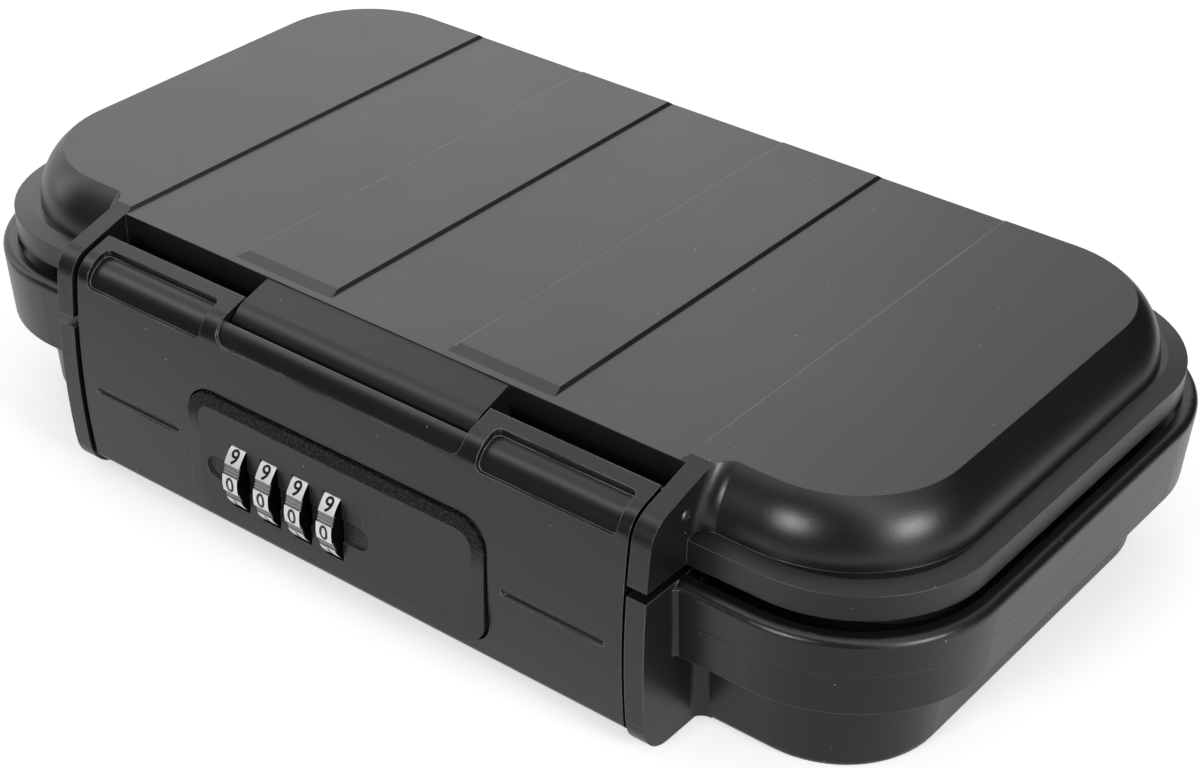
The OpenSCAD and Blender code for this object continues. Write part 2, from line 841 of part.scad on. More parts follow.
// Pads: recesses with a rear wall across the latch's top and round corners all round
module pads() {
    low_z = shoulder_z - 0.2;
    rear_y = front - 1;
    mid = (pad_x0 + pad_x1) / 2;
    half = (pad_x1 - pad_x0) / 2;
    both_sides()
        intersection() {
            shoulder_recess(low_z, rear_y, pad_d, pad_rear_d)
                translate([mid, low_z + half])
                    round_rect(half, half, pad_r);
            translate([mid, rear_y - half, 0])
                linear_extrude(top_z)
                    round_rect(half, half, pad_r);
        }
}

// Round-bottomed grooves with round ends
module side_grooves() {
    z = latch_foot_z + side_groove_up;
    r = side_groove_h / 2;
    drop = bow_r - sqrt(bow_r * bow_r - (z - bow_z) * (z - bow_z));
    both_sides()
        translate([0, latch_face + drop + side_groove_d - r, z])
            rotate([0, 90, 0])
                rotate_extrude()
                    intersection() {
                        translate([0, side_groove_x0])
                            square([r, side_groove_x1 - side_groove_x0]);
                        union() {
                            translate([0, side_groove_x0 + r])
                                square([r, side_groove_x1 - side_groove_x0 - side_groove_h]);
                            for (x = [side_groove_x0 + r, side_groove_x1 - r])
                                translate([0, x])
                                    circle(r);
                        }
                    }
}

module cover_screw_places() {
    for (x = [-cover_screw_x, cover_screw_x], z = [latch_foot_z + 6, cover_top_z - 5])
        translate([x, 0, z])
            children();
}

module latch_shell() {
    mouth = tongue_half + tongue_gap;
    boss_y = latch_face + latch_wall;
    hollow_z0 = latch_foot_z + 2;
    color("#2b2b2c")
        translate([0, shift_y, 0])
            difference() {
                union() {
                    difference() {
                        along_x(-latch_half, latch_half)
                            latch_profile();
                        along_x(-latch_half + 2, latch_half - 2)
                            intersection() {
                                front_profile(latch_face + latch_wall, 2, hollow_z0);
                                union() {
                                    translate([-big, hollow_z0])
                                        square([2 * big, cover_top_z - 1.2 - hollow_z0]);
                                    translate([-big, hollow_z0])
                                        square([big + latch_back - 1.4, latch_hollow_z - hollow_z0]);
                                }
                            }
                        along_x(-mouth, mouth)
                            union() {
                                translate([latch_face + 3.8, latch_hollow_z + 1.4])
                                    square([big, big]);
                                translate([pivot_y, pivot_z])
                                    circle(tongue_r + tongue_gap);
                            }
                    }
                    intersection() {
                        cover_screw_places()
                            rod_y(boss_y - 1, cover_in, 0, 0, boss_d / 2);
                        along_x(-latch_half, latch_half)
                            latch_profile();
                    }
                }
                pads();
                shoulder_recess(shoulder_z + relief_up, pivot_y, relief_d, relief_d)
                    translate([0, shoulder_z + relief_up + mouth])
                        round_rect(mouth, mouth, relief_r);
                side_grooves();
                along_y(latch_face - 10, latch_face + latch_wall + 1.6)
                    translate([0, panel_z])
                        round_rect(panel_half + panel_gap, panel_half_h + panel_gap,
                            panel_r + panel_gap);
                rod_x(-big, big, pivot_y, pivot_z, pivot_d / 2 + fit);
                cover_screw_places()
                    rod_y(boss_y + 1.5, cover_in + 1, 0, 0, screw_d / 2 + snug);
                latch_openings();
            }
}

// Way out for the strike and for the bolt's thumb tab, open at the latch's lower edge
module latch_openings() {
    block(strike_x - 0.6, strike_x + strike_t + 0.6, nose_y - nose_r - 2.2, base_bay_y, -1,
        dial_z + 4);
    block(plate_x - 0.6, plate_x + bolt_plate_t + bolt_travel + 0.6, front - 0.6, front + 4.6,
        -1, dial_z - 4);
}

module latch_cover() {
    z0 = latch_foot_z + 1;
    color("#262627")
        translate([0, shift_y, 0])
            difference() {
                block(-latch_half + 1, latch_half - 1, cover_in, cover_y, z0, cover_top_z);
                cover_screw_places()
                    rod_y(cover_in - 1, cover_y + 1, 0, 0, screw_d / 2 + 0.15);
                cover_screw_places()
                    rod_y(cover_y - head_h, cover_y + 1, 0, 0, head_d / 2 + 0.15);
                latch_openings();
                block(dial_x - 2.4, dial_x + 2.4 + reset_travel, cover_in - 1, cover_y + 1,
                    dial_z - comb_drop - comb_t - 0.8, dial_z - comb_drop + 0.8);
            }
}

module cover_screws() {
    color("silver")
        translate([0, shift_y, 0])
            cover_screw_places()
                difference() {
                    union() {
                        rod_y(latch_face + latch_wall + 2, cover_y - 0.1, 0, 0, screw_d / 2);
                        rod_y(cover_y - head_h + 0.1, cover_y - 0.1, 0, 0, head_d / 2);
                    }
                    for (a = [0, 90])
                        rotate([0, a, 0])
                            block(-head_d * 0.3, head_d * 0.3, cover_y - 0.7, cover_y, -0.3, 0.3);
                }
}

module dial_bays(grow) {
    for (n = [1:dial_n])
        rod_x(dial_at(n) - slot_w / 2, dial_at(n) + slot_w / 2, dial_y, dial_z, dial_r + grow);
}

// Room in the panel's back for sleeves, bearings, bolt plate and spindle
module works_room() {
    rod_x(frame_left - 0.5, frame_right + 0.5, dial_y, dial_z, sleeve_r + 0.25);
    rod_x(frame_left - bearing_t - 0.5, frame_right + bearing_t + 0.5, dial_y, dial_z,
        bearing_r + 0.3);
    rod_x(plate_x - 0.5, plate_x + bolt_plate_t + bolt_travel + 0.7, dial_y, dial_z,
        plate_half * sqrt(2) + 0.35);
    rod_x(spindle_left - 0.8, frame_left, dial_y, dial_z, spindle_r + 0.4);
    rod_x(frame_right, spindle_right + bolt_travel + 0.8, dial_y, dial_z, spindle_r + 1.4);
}

module lock_panel() {
    back = panel_face + panel_t;
    color("#2a2a2b")
        translate([0, shift_y, 0])
            difference() {
                union() {
                    translate([0, panel_face, panel_z])
                        rotate([90, 0, 0])
                            mirror([0, 0, 1])
                                sweep(panel_half - panel_r, panel_half_h - panel_r, 0, panel_t)
                                    polygon([[0, 0], [panel_r - panel_border, 0],
                                        [panel_r, panel_drop], [panel_r, panel_t], [0, panel_t]]);
                    intersection() {
                        along_x(-panel_half - flange_w, panel_half + flange_w)
                            difference() {
                                front_profile(latch_face + latch_wall + fit, 0, latch_foot_z + 2.3);
                                translate([back + 0.6, -1])
                                    square([big, big]);
                            }
                        block(-big, big, -big, big, latch_foot_z + 2.3,
                            panel_z + panel_half_h + flange_w);
                    }
                }
                dial_bays(slot_gap);
                along_y(panel_face - 1, panel_face + index_d)
                    translate([dial_x, dial_z])
                        round_rect(dial_pitch * dial_n / 2 + 4.2, index_h / 2, index_h / 2 - tiny);
                works_room();
            }
}

module lock_frame() {
    y0 = panel_face + panel_t + 0.6 + seat_gap / 3;
    y1 = cover_in - seat_gap / 3;
    color("#77787a")
        translate([0, shift_y, 0])
            difference() {
                union() {
                    block(frame_left - bearing_t, frame_right + bearing_t, y0, y1,
                        dial_z - frame_in - frame_wall, dial_z + frame_in + frame_wall);
                    rod_x(frame_left - bearing_t, frame_right + bearing_t, dial_y, dial_z,
                        bearing_r);
                }
                block(frame_left, frame_right, y0 - 5, y1 + 1, dial_z - frame_in,
                    dial_z + frame_in);
                rod_x(frame_left - bearing_t - 1, frame_right + bearing_t + 1, dial_y, dial_z,
                    spindle_r + fit);
                comb_bar(frame_left - bearing_t - 1, frame_right + bearing_t + 1, 0.15);
            }
}

// Bar of the reset comb, in the lower rear corner of the frame
module comb_bar(x0, x1, grow) {
    block(x0, x1, dial_y + comb_back - grow, dial_y + comb_back + comb_t + grow,
        dial_z - comb_drop - comb_t - grow, dial_z - comb_drop + grow);
}

module wheel(n) {
    x = dial_at(n);
    half = dial_w / 2;
    color("gainsboro")
        translate([0, shift_y, 0])
            difference() {
                rod_x(x - half, x + half, dial_y, dial_z, dial_r);
                rod_x(x - half - 1, x + tiny, dial_y, dial_z, dial_bore_r);
                rod_x(x, x + half + 1, dial_y, dial_z, dial_bore_r + notch_d + 0.15);
                for (k = [0:digits - 1])
                    translate([0, dial_y, dial_z])
                        rotate([k * 360 / digits, 0, 0]) {
                            block(x - half - 1, x + tiny, -notch_w / 2, notch_w / 2, 0,
                                dial_bore_r + notch_d);
                            difference() {
                                block(x - half - 1, x + half + 1, -waist_w / 2, waist_w / 2,
                                    dial_r - waist_d, dial_r + 1);
                                for (j = [-1:1])
                                    rod_x(x - half - 2, x + half + 2, j * waist_w * 0.29,
                                        dial_r - waist_d - 0.02, ridge_r);
                            }
                        }
            }
}

module sleeve(n) {
    x = dial_at(n);
    lug_reach = dial_bore_r + notch_d - 0.15;
    color("goldenrod")
        translate([0, shift_y, 0])
            difference() {
                union() {
                    rod_x(x - sleeve_left, x + neck_from, dial_y, dial_z, sleeve_r);
                    rod_x(x + neck_from, x + neck_to, dial_y, dial_z, neck_r);
                    rod_x(x + neck_to, x + sleeve_right, dial_y, dial_z, sleeve_r);
                    block(x - web_half, x - 0.1, dial_y - lug_w / 2, dial_y + lug_w / 2,
                        dial_z - lug_reach, dial_z + lug_reach);
                }
                rod_x(x - sleeve_left - 1, x - web_half, dial_y, dial_z, sleeve_hollow_r);
                rod_x(x + web_half, x + sleeve_right + 1, dial_y, dial_z, sleeve_hollow_r);
                rod_x(x - web_half - 1, x + web_half + 1, dial_y, dial_z, spindle_r + fit);
                block(x - web_half - 1, x + web_half + 1, dial_y - fin_w / 2 - 0.15,
                    dial_y + fin_w / 2 + 0.15, dial_z, dial_z + fin_r + 0.15);
            }
}

module spindle() {
    color("silver")
        translate([0, shift_y, 0])
            difference() {
                union() {
                    rod_x(spindle_left, spindle_right, dial_y, dial_z, spindle_r);
                    for (n = [1:dial_n])
                        block(dial_at(n) + fin_from, dial_at(n) + fin_from + fin_t,
                            dial_y - fin_w / 2, dial_y + fin_w / 2, dial_z, dial_z + fin_r);
                }
                difference() {
                    rod_x(plate_x + bolt_plate_t + 0.1, plate_x + bolt_plate_t + 0.9, dial_y, dial_z,
                        spindle_r + 1);
                    rod_x(plate_x, plate_x + 3, dial_y, dial_z, spindle_r - 0.5);
                }
            }
}

module lock_bolt() {
    z_tab = latch_foot_z - 0.8;
    color("silver")
        translate([0, shift_y, 0])
            difference() {
                union() {
                    block(plate_x, plate_x + bolt_plate_t, dial_y - plate_half, nose_y + nose_r,
                        dial_z - plate_half, dial_z + plate_half);
                    rod_x(plate_x, plate_x + bolt_plate_t + bolt_travel + 0.1, nose_y, dial_z,
                        nose_r);
                    block(plate_x, plate_x + bolt_plate_t, front, front + 4, z_tab, dial_z);
                }
                rod_x(plate_x - 1, plate_x + bolt_plate_t + 1, dial_y, dial_z, spindle_r + snug);
            }
}

module spindle_clip() {
    x0 = plate_x + bolt_plate_t + 0.2;
    color("silver")
        translate([0, shift_y, 0])
            difference() {
                rod_x(x0, x0 + 0.6, dial_y, dial_z, spindle_r + 1.1);
                rod_x(x0 - 1, x0 + 1, dial_y, dial_z, spindle_r - 0.5 + snug);
                block(x0 - 1, x0 + 1, dial_y - 0.9, dial_y + 0.9, dial_z, dial_z + 4);
            }
}

module reset_lever() {
    color("#b04030")
        translate([0, shift_y, 0])
            union() {
                comb_bar(comb_x0, comb_x1, 0);
                for (n = [1:dial_n])
                    along_x(dial_at(n) + neck_from + 0.2, dial_at(n) + neck_to - 0.2)
                        difference() {
                            intersection() {
                                translate([dial_y, dial_z])
                                    union() {
                                        circle(neck_r + 2.2);
                                        rotate([0, 0, -45])
                                            translate([0, -1.2])
                                                square([comb_back + comb_drop - 2.8, 2.4]);
                                    }
                                translate([dial_y - 0.9, dial_z - comb_drop - comb_t])
                                    square([comb_back + comb_t + 0.9,
                                        comb_drop + comb_t + neck_r - 1.1]);
                            }
                            translate([dial_y, dial_z])
                                circle(neck_r + fit);
                        }
                block(dial_x - 2, dial_x + 2, dial_y + comb_back + 0.3, cover_y,
                    dial_z - comb_drop - comb_t, dial_z - comb_drop);
            }
}

module detent_spring() {
    z_top = dial_z + frame_in;
    tip = (dial_r + 0.35) * sin(45);
    color("silver")
        translate([0, shift_y, 0])
            union() {
                block(frame_left + 0.3, frame_right - 0.3, dial_y + leaf_back - leaf_w,
                    dial_y + leaf_back, z_top - 0.05 - leaf_t, z_top - 0.05);
                for (n = [1:dial_n])
                    along_x(dial_at(n) - 1.2, dial_at(n) + 1.2)
                        polygon([[dial_y + leaf_back, z_top - 0.05],
                            [dial_y + leaf_back - leaf_t, z_top - 0.05],
                            [dial_y + tip, dial_z + tip],
                            [dial_y + tip + leaf_t, dial_z + tip - 0.1]]);
            }
}

// Plate of the strike, let in flush with the bay wall
module strike_plate(grow, proud) {
    block(strike_x - 1.4 - grow, strike_x + strike_t + 1.4 + grow, base_bay_y - proud,
        base_bay_y + 0.9, dial_z - 8.6 - grow, dial_z + 8.6 + grow);
}

module strike() {
    color("silver")
        translate([0, shift_y, 0])
            difference() {
                union() {
                    strike_plate(0, 0);
                    block(strike_x, strike_x + strike_t, nose_y - nose_r - 1.3, base_bay_y + 0.5,
                        dial_z - 2.8, dial_z + 2.8);
                }
                rod_x(strike_x - 1, strike_x + strike_t + 1, nose_y, dial_z, nose_r + 0.25);
                for (s = [-1, 1]) {
                    rod_y(base_bay_y - 1, base_bay_y + 1, strike_mid, dial_z + s * strike_screw_up,
                        screw_d / 2 + snug);
                    rod_y(base_bay_y - 1, base_bay_y + 0.5, strike_mid,
                        dial_z + s * strike_screw_up, strike_head_r + snug);
                }
            }
}

module strike_screws() {
    color("silver")
        translate([0, shift_y, 0])
            for (s = [-1, 1])
                difference() {
                    union() {
                        rod_y(base_bay_y + 0.1, base_bay_y + strike_screw_l, strike_mid,
                            dial_z + s * strike_screw_up, screw_d / 2);
                        rod_y(base_bay_y + 0.05, base_bay_y + 0.45, strike_mid,
                            dial_z + s * strike_screw_up, strike_head_r);
                    }
                    block(strike_mid - strike_head_r * 0.7, strike_mid + strike_head_r * 0.7,
                        base_bay_y - 1, base_bay_y + 0.25, dial_z + s * strike_screw_up - 0.25,
                        dial_z + s * strike_screw_up + 0.25);
                }
}

base_tray();
seal_ring();
lid_shell();
hinge_pins();
latch_shell();
latch_pin();
latch_cover();
cover_screws();
lock_panel();
lock_frame();
wheel(1);  // dial_1
wheel(2);  // dial_2
wheel(3);  // dial_3
wheel(4);  // dial_4
sleeve(1);  // code_sleeve_1
sleeve(2);  // code_sleeve_2
sleeve(3);  // code_sleeve_3
sleeve(4);  // code_sleeve_4
spindle();
lock_bolt();
spindle_clip();
reset_lever();
detent_spring();
strike();
strike_screws();
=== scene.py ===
"""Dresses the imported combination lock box: finishes, dial numerals, studio and camera."""

import logging
import math
from dataclasses import dataclass, field
from enum import Enum
from typing import Any, ClassVar, Union

import bpy
from mathutils import Matrix, Vector


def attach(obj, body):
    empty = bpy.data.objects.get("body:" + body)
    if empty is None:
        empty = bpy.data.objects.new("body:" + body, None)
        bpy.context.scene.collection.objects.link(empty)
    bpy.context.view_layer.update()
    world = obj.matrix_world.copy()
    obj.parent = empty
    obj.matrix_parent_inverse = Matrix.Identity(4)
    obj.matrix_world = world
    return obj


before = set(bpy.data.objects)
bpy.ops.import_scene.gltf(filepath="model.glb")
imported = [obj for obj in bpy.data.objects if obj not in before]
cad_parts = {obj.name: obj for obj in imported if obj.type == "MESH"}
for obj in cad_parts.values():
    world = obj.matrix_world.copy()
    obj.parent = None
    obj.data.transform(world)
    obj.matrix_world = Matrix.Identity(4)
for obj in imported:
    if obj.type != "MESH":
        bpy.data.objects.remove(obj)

LOG = logging.getLogger("lock_box")
MM = 0.001
BEVEL_SAMPLES = 6
DIALS = (1, 2, 3, 4)
DIAL_AXIS_Y, DIAL_AXIS_Z = -58.15, 17.0
Colour = tuple[float, float, float]
Point = tuple[float, float, float]
Span = tuple[float, float]
Box = tuple[float, float, float, float]
Input = Union[float, tuple, "Value", bpy.types.NodeSocket]


class Value:
    """A shader socket that takes part in Python arithmetic."""

    def __init__(self, graph: "Graph", socket: bpy.types.NodeSocket) -> None:
        """Keeps the graph and the socket that carries the value."""
        self.graph = graph
        self.socket = socket

    def _math(self, operation: str, *others: Input, clamp: bool = False) -> "Value":
        """Adds one Math node.

        Args:
            operation: Blender's name of the operation.
            others: the operands after this one.
            clamp: whether the result is held between 0 and 1.

        Returns:
            The node's result.
        """
        settings = {"operation": operation, "use_clamp": clamp}
        return self.graph.node("ShaderNodeMath", settings, {0: self, **dict(enumerate(others, 1))})

    def __add__(self, other: Input) -> "Value":
        """Sum."""
        return self._math("ADD", other)

    def __radd__(self, other: float) -> "Value":
        """Sum, reflected."""
        return self._math("ADD", other)

    def __sub__(self, other: Input) -> "Value":
        """Difference."""
        return self._math("SUBTRACT", other)

    def __rsub__(self, other: float) -> "Value":
        """Difference, reflected."""
        return self * -1.0 + other

    def __mul__(self, other: Input) -> "Value":
        """Product."""
        return self._math("MULTIPLY", other)

    def __rmul__(self, other: float) -> "Value":
        """Product, reflected."""
        return self._math("MULTIPLY", other)

    def __truediv__(self, other: Input) -> "Value":
        """Quotient."""
        return self._math("DIVIDE", other)

    def __pow__(self, other: Input) -> "Value":
        """Power."""
        return self._math("POWER", other)

    def magnitude(self) -> "Value":
        """Absolute value."""
        return self._math("ABSOLUTE")

    def at_least(self, low: Input) -> "Value":
        """The greater of this and low."""
        return self._math("MAXIMUM", low)

    def at_most(self, high: Input) -> "Value":
        """The lesser of this and high."""
        return self._math("MINIMUM", high)

    def step(self, start: float, end: float) -> "Value":
        """A soft step from 0 at start to 1 at end.

        Args:
            start: where the step begins.
            end: where it ends; it may lie below start.

        Returns:
            The mask, between 0 and 1.
        """
        raised = (self - start) / (end - start)
        return raised._math("ADD", 0.0, clamp=True)


class Graph:
    """The node tree of one material or world."""

    def __init__(self, tree: bpy.types.NodeTree) -> None:
        """Empties the tree."""
        self.tree = tree
        tree.nodes.clear()

    def node(
        self,
        kind: str,
        settings: dict[str, Any] | None = None,
        inputs: dict[int | str, Input] | None = None,
        output: int | str = 0,
    ) -> Value:
        """Adds a node.

        Args:
            kind: the node's type.
            settings: its properties, set before its sockets.
            inputs: values or links of its sockets, by index or name.
            output: which of its outputs to return.

        Returns:
            The chosen output, or the node's first input where it has no output.
        """
        node = self.tree.nodes.new(kind)
        for name, value in (settings or {}).items():
            setattr(node, name, value)
        for name, value in (inputs or {}).items():
            source = value.socket if isinstance(value, Value) else value
            if isinstance(source, bpy.types.NodeSocket):
                self.tree.links.new(source, node.inputs[name])
            else:
                node.inputs[name].default_value = source
        sockets = node.outputs if node.outputs else node.inputs
        return Value(self, sockets[output])

    def place(self) -> Value:
        """Position on the object, in metres of the shared frame."""
        return self.node("ShaderNodeTexCoord", output="Object")

    def axes(self, place: Value) -> tuple[Value, Value, Value]:
        """Splits a position into its three parts, in millimetres.

        Args:
            place: the position in metres.

        Returns:
            X, Y and Z in millimetres.
        """
        parts = [
            self.node("ShaderNodeSeparateXYZ", inputs={0: place}, output=axis) * (1 / MM)
            for axis in range(3)
        ]
        return parts[0], parts[1], parts[2]

    def noise(
        self, place: Value, size_mm: float, detail: float = 3.0, rough: float = 0.55
    ) -> Value:
        """Noise with features of a given size.

        Args:
            place: the position in metres.
            size_mm: the size of its largest features.
            detail: how many finer layers it has.
            rough: how strong the finer layers are.

        Returns:
            The noise, between 0 and 1.
        """
        inputs = {
            "Vector": place,
            "Scale": 1 / (size_mm * MM),
            "Detail": detail,
            "Roughness": rough,
        }
        return self.node("ShaderNodeTexNoise", inputs=inputs, output="Fac")

    def cells(self, place: Value, size_mm: float) -> Value:
        """Distance to the nearest of many scattered points.

        Args:
            place: the position in metres.
            size_mm: the mean distance between the points.

        Returns:
            The distance, where 1 is about that size.
        """
        inputs = {"Vector": place, "Scale": 1 / (size_mm * MM)}
        return self.node("ShaderNodeTexVoronoi", inputs=inputs, output="Distance")

    def blend(self, amount: Input, first: Input, second: Input) -> Value:
        """Mixes two colours.

        Args:
            amount: 0 gives the first colour and 1 the second.
            first: a colour with alpha, or a link.
            second: a colour with alpha, or a link.

        Returns:
            The mixed colour.
        """
        factor, colour_a, colour_b, result = 0, 6, 7, 2
        inputs = {factor: amount, colour_a: first, colour_b: second}
        return self.node("ShaderNodeMix", {"data_type": "RGBA"}, inputs, result)

    def soft_edges(self, radius_mm: float) -> Value:
        """Normals that round the edges off.

        Args:
            radius_mm: radius of the rounding.

        Returns:
            The normal.
        """
        return self.node("ShaderNodeBevel", {"samples": BEVEL_SAMPLES}, {"Radius": radius_mm * MM})

    def worn_edges(self, radius_mm: float) -> Value:
        """Mask of the edges, along which a highlight is painted light into the colour.

        Args:
            radius_mm: how far from the edge the mask reaches.

        Returns:
            The mask, between 0 and 1.
        """
        slight_turn, full_turn = 0.985, 0.85
        soft = self.soft_edges(radius_mm)
        plain = self.node("ShaderNodeNewGeometry", output="Normal")
        dot = {"operation": "DOT_PRODUCT"}
        same = self.node("ShaderNodeVectorMath", dot, {0: soft, 1: plain}, "Value")
        return same.step(slight_turn, full_turn)

    def bump(self, height: Value, depth_mm: float, normal: Value | None = None) -> Value:
        """Turns a height into relief.

        Args:
            height: the height, where 1 is the full depth.
            depth_mm: the full depth.
            normal: the normal that the relief starts from.

        Returns:
            The new normal.
        """
        inputs: dict[int | str, Input] = {
            "Height": height,
            "Distance": depth_mm * MM,
            "Strength": 1.0,
        }
        if normal is not None:
            inputs["Normal"] = normal
        return self.node("ShaderNodeBump", inputs=inputs)


def grey(level: float) -> tuple[float, float, float, float]:
    """A neutral colour with full alpha."""
    return (level, level, level, 1.0)


def opaque(colour: Colour, gain: float = 1.0) -> tuple[float, float, float, float]:
    """A colour, brightened by gain, with full alpha."""
    return (colour[0] * gain, colour[1] * gain, colour[2] * gain, 1.0)


def new_graph(name: str) -> tuple[bpy.types.Material, Graph]:
    """Makes an empty material.

    Args:
        name: the material's name.

    Returns:
        The material and its graph.
    """
    material = bpy.data.materials.new(name)
    material.use_nodes = True
    return material, Graph(material.node_tree)


@dataclass(frozen=True)
class MouldedPlastic:
    """Black satin ABS from a fine-textured mould.

    Attributes:
        name: the material's name.
        tone: the base colour's level.
        roughness: the mean roughness.
        texture_mm: size of the mould's texture.
        texture_depth_mm: depth of that texture.
        edge_mm: radius that softens the edges.
        wear: how far a highlight is painted light along the edges.

    The pairs among the constants are the levels of a noise, or the distances from a point, at
    which a mask begins and is full.
    """

    name: str
    tone: float
    roughness: float
    texture_mm: float = 0.32
    texture_depth_mm: float = 0.008
    edge_mm: float = 0.18
    wear: float = 0.35

    CLOUD_MM: ClassVar[float] = 22.0
    CLOUD_TONE: ClassVar[float] = 0.07
    CLOUD_ROUGHNESS: ClassVar[float] = 0.1
    GRAIN_MM: ClassVar[float] = 0.6
    GRAIN_ROUGHNESS: ClassVar[float] = 0.06
    SPECK_GAP_MM: ClassVar[float] = 2.6
    SPECK_REACH: ClassVar[Span] = (0.055, 0.03)
    SPECK_PATCH_MM: ClassVar[float] = 9.0
    SPECK_PATCHES: ClassVar[Span] = (0.5, 0.62)
    SPECK_ROUGHNESS: ClassVar[float] = 0.15
    WEAR_PATCH_MM: ClassVar[float] = 14.0
    WEAR_PATCHES: ClassVar[Span] = (0.3, 0.6)
    DUST: ClassVar[float] = 0.4
    IOR: ClassVar[float] = 1.5

    def relief(self, graph: Graph, place: Value, normal: Value) -> Value:
        """Adds the mould's texture.

        Args:
            graph: the material's graph.
            place: the position in metres.
            normal: the softened normal.

        Returns:
            The normal with its relief.
        """
        fine = graph.noise(place, self.texture_mm, detail=2.0)
        return graph.bump(fine, self.texture_depth_mm, normal)

    def shade(self, graph: Graph, place: Value) -> tuple[Value, Value]:
        """Colour and roughness over the surface.

        Args:
            graph: the material's graph.
            place: the position in metres.

        Returns:
            The base colour and the roughness.
        """
        cloud = graph.noise(place, self.CLOUD_MM)
        dark = grey(self.tone * (1 - self.CLOUD_TONE))
        light = grey(self.tone * (1 + self.CLOUD_TONE))
        base = graph.blend(cloud, dark, light)
        dusty = graph.noise(place, self.SPECK_PATCH_MM).step(*self.SPECK_PATCHES)
        specks = graph.cells(place, self.SPECK_GAP_MM).step(*self.SPECK_REACH) * dusty
        # Painted highlight: the edges are painted light, more in some patches than others; the
        # specks are dust.
        highlight_patches = graph.noise(place, self.WEAR_PATCH_MM).step(*self.WEAR_PATCHES)
        edge_highlight = graph.worn_edges(self.edge_mm) * highlight_patches
        colour = graph.blend(specks.at_least(edge_highlight * self.wear), base, grey(self.DUST))
        fine = graph.noise(place, self.GRAIN_MM, detail=2.0)
        rough = self.roughness + (cloud - 0.5) * self.CLOUD_ROUGHNESS
        rough = rough + (fine - 0.5) * self.GRAIN_ROUGHNESS + specks * self.SPECK_ROUGHNESS
        return colour, rough

    def make(self) -> bpy.types.Material:
        """Builds the material.

        Returns:
            The material, with its whole graph.
        """
        material, graph = new_graph(self.name)
        place = graph.place()
        normal = self.relief(graph, place, graph.soft_edges(self.edge_mm))
        shader = self.surface(graph, place, normal)
        graph.node("ShaderNodeOutputMaterial", inputs={"Surface": shader})
        return material

    def surface(self, graph: Graph, place: Value, normal: Value) -> Value:
        """Builds the shader.

        Args:
            graph: the material's graph.
            place: the position in metres.
            normal: the normal with its relief.

        Returns:
            The shader.
        """
        colour, rough = self.shade(graph, place)
        inputs = {"Base Color": colour, "Roughness": rough, "Normal": normal, "IOR": self.IOR}
        return graph.node("ShaderNodeBsdfPrincipled", inputs=inputs)


@dataclass(frozen=True)
class RimPlastic(MouldedPlastic):
    """The case's plastic, with the faint line that the mould's split leaves round the rim.

    Attributes:
        split_z: height of the line, in millimetres.
        split_reach: how far from its middle the line begins and is full.
        split_depth_mm: height of its step.
    """

    split_z: float = 25.0
    split_reach: Span = (0.22, 0.05)
    split_depth_mm: float = 0.035

    def relief(self, graph: Graph, place: Value, normal: Value) -> Value:
        """Adds the texture and the split line.

        Args:
            graph: the material's graph.
            place: the position in metres.
            normal: the softened normal.

        Returns:
            The normal with its relief.
        """
        textured = super().relief(graph, place, normal)
        height = graph.axes(place)[2]
        line = (height - self.split_z).magnitude().step(*self.split_reach)
        return graph.bump(line, self.split_depth_mm, textured)


@dataclass(frozen=True)
class LidPlastic(MouldedPlastic):
    """The lid's plastic, with a highlight painted light along the right-hand edges of the bands on
    its top.

    Attributes:
        band_edges: where those edges lie along X, in millimetres.
        line_reach: how far from its middle a painted highlight line begins and is full.
        top_z: height of the lid's top.
        top_fade: how far below the top the lines begin and are full.
        rubbed: level of the painted highlight.
        patch_mm: size of the stretches where the painted highlight is stronger or weaker.
        patches: levels of the noise at which a stretch begins and is full.
    """

    band_edges: tuple[float, ...] = (-35.05, 12.95, 60.95)
    line_reach: Span = (0.22, 0.08)
    top_z: float = 49.2
    top_fade: Span = (0.3, 0.1)
    rubbed: float = 0.14
    patch_mm: float = 11.0
    patches: Span = (0.25, 0.6)

    def shade(self, graph: Graph, place: Value) -> tuple[Value, Value]:
        """Paints the highlights along the band edges into the colour.

        Args:
            graph: the material's graph.
            place: the position in metres.

        Returns:
            The base colour and the roughness.
        """
        colour, rough = super().shade(graph, place)
        x, _, z = graph.axes(place)
        line = (x - self.band_edges[0]).magnitude()
        for edge in self.band_edges[1:]:
            line = line.at_most((x - edge).magnitude())
        uneven = graph.noise(place, self.patch_mm).step(*self.patches)
        start, end = (self.top_z - drop for drop in self.top_fade)
        # Painted highlight: a light line along each band edge near the lid's top.
        mask = line.step(*self.line_reach) * z.step(start, end) * uneven
        return graph.blend(mask, colour, grey(self.rubbed)), rough


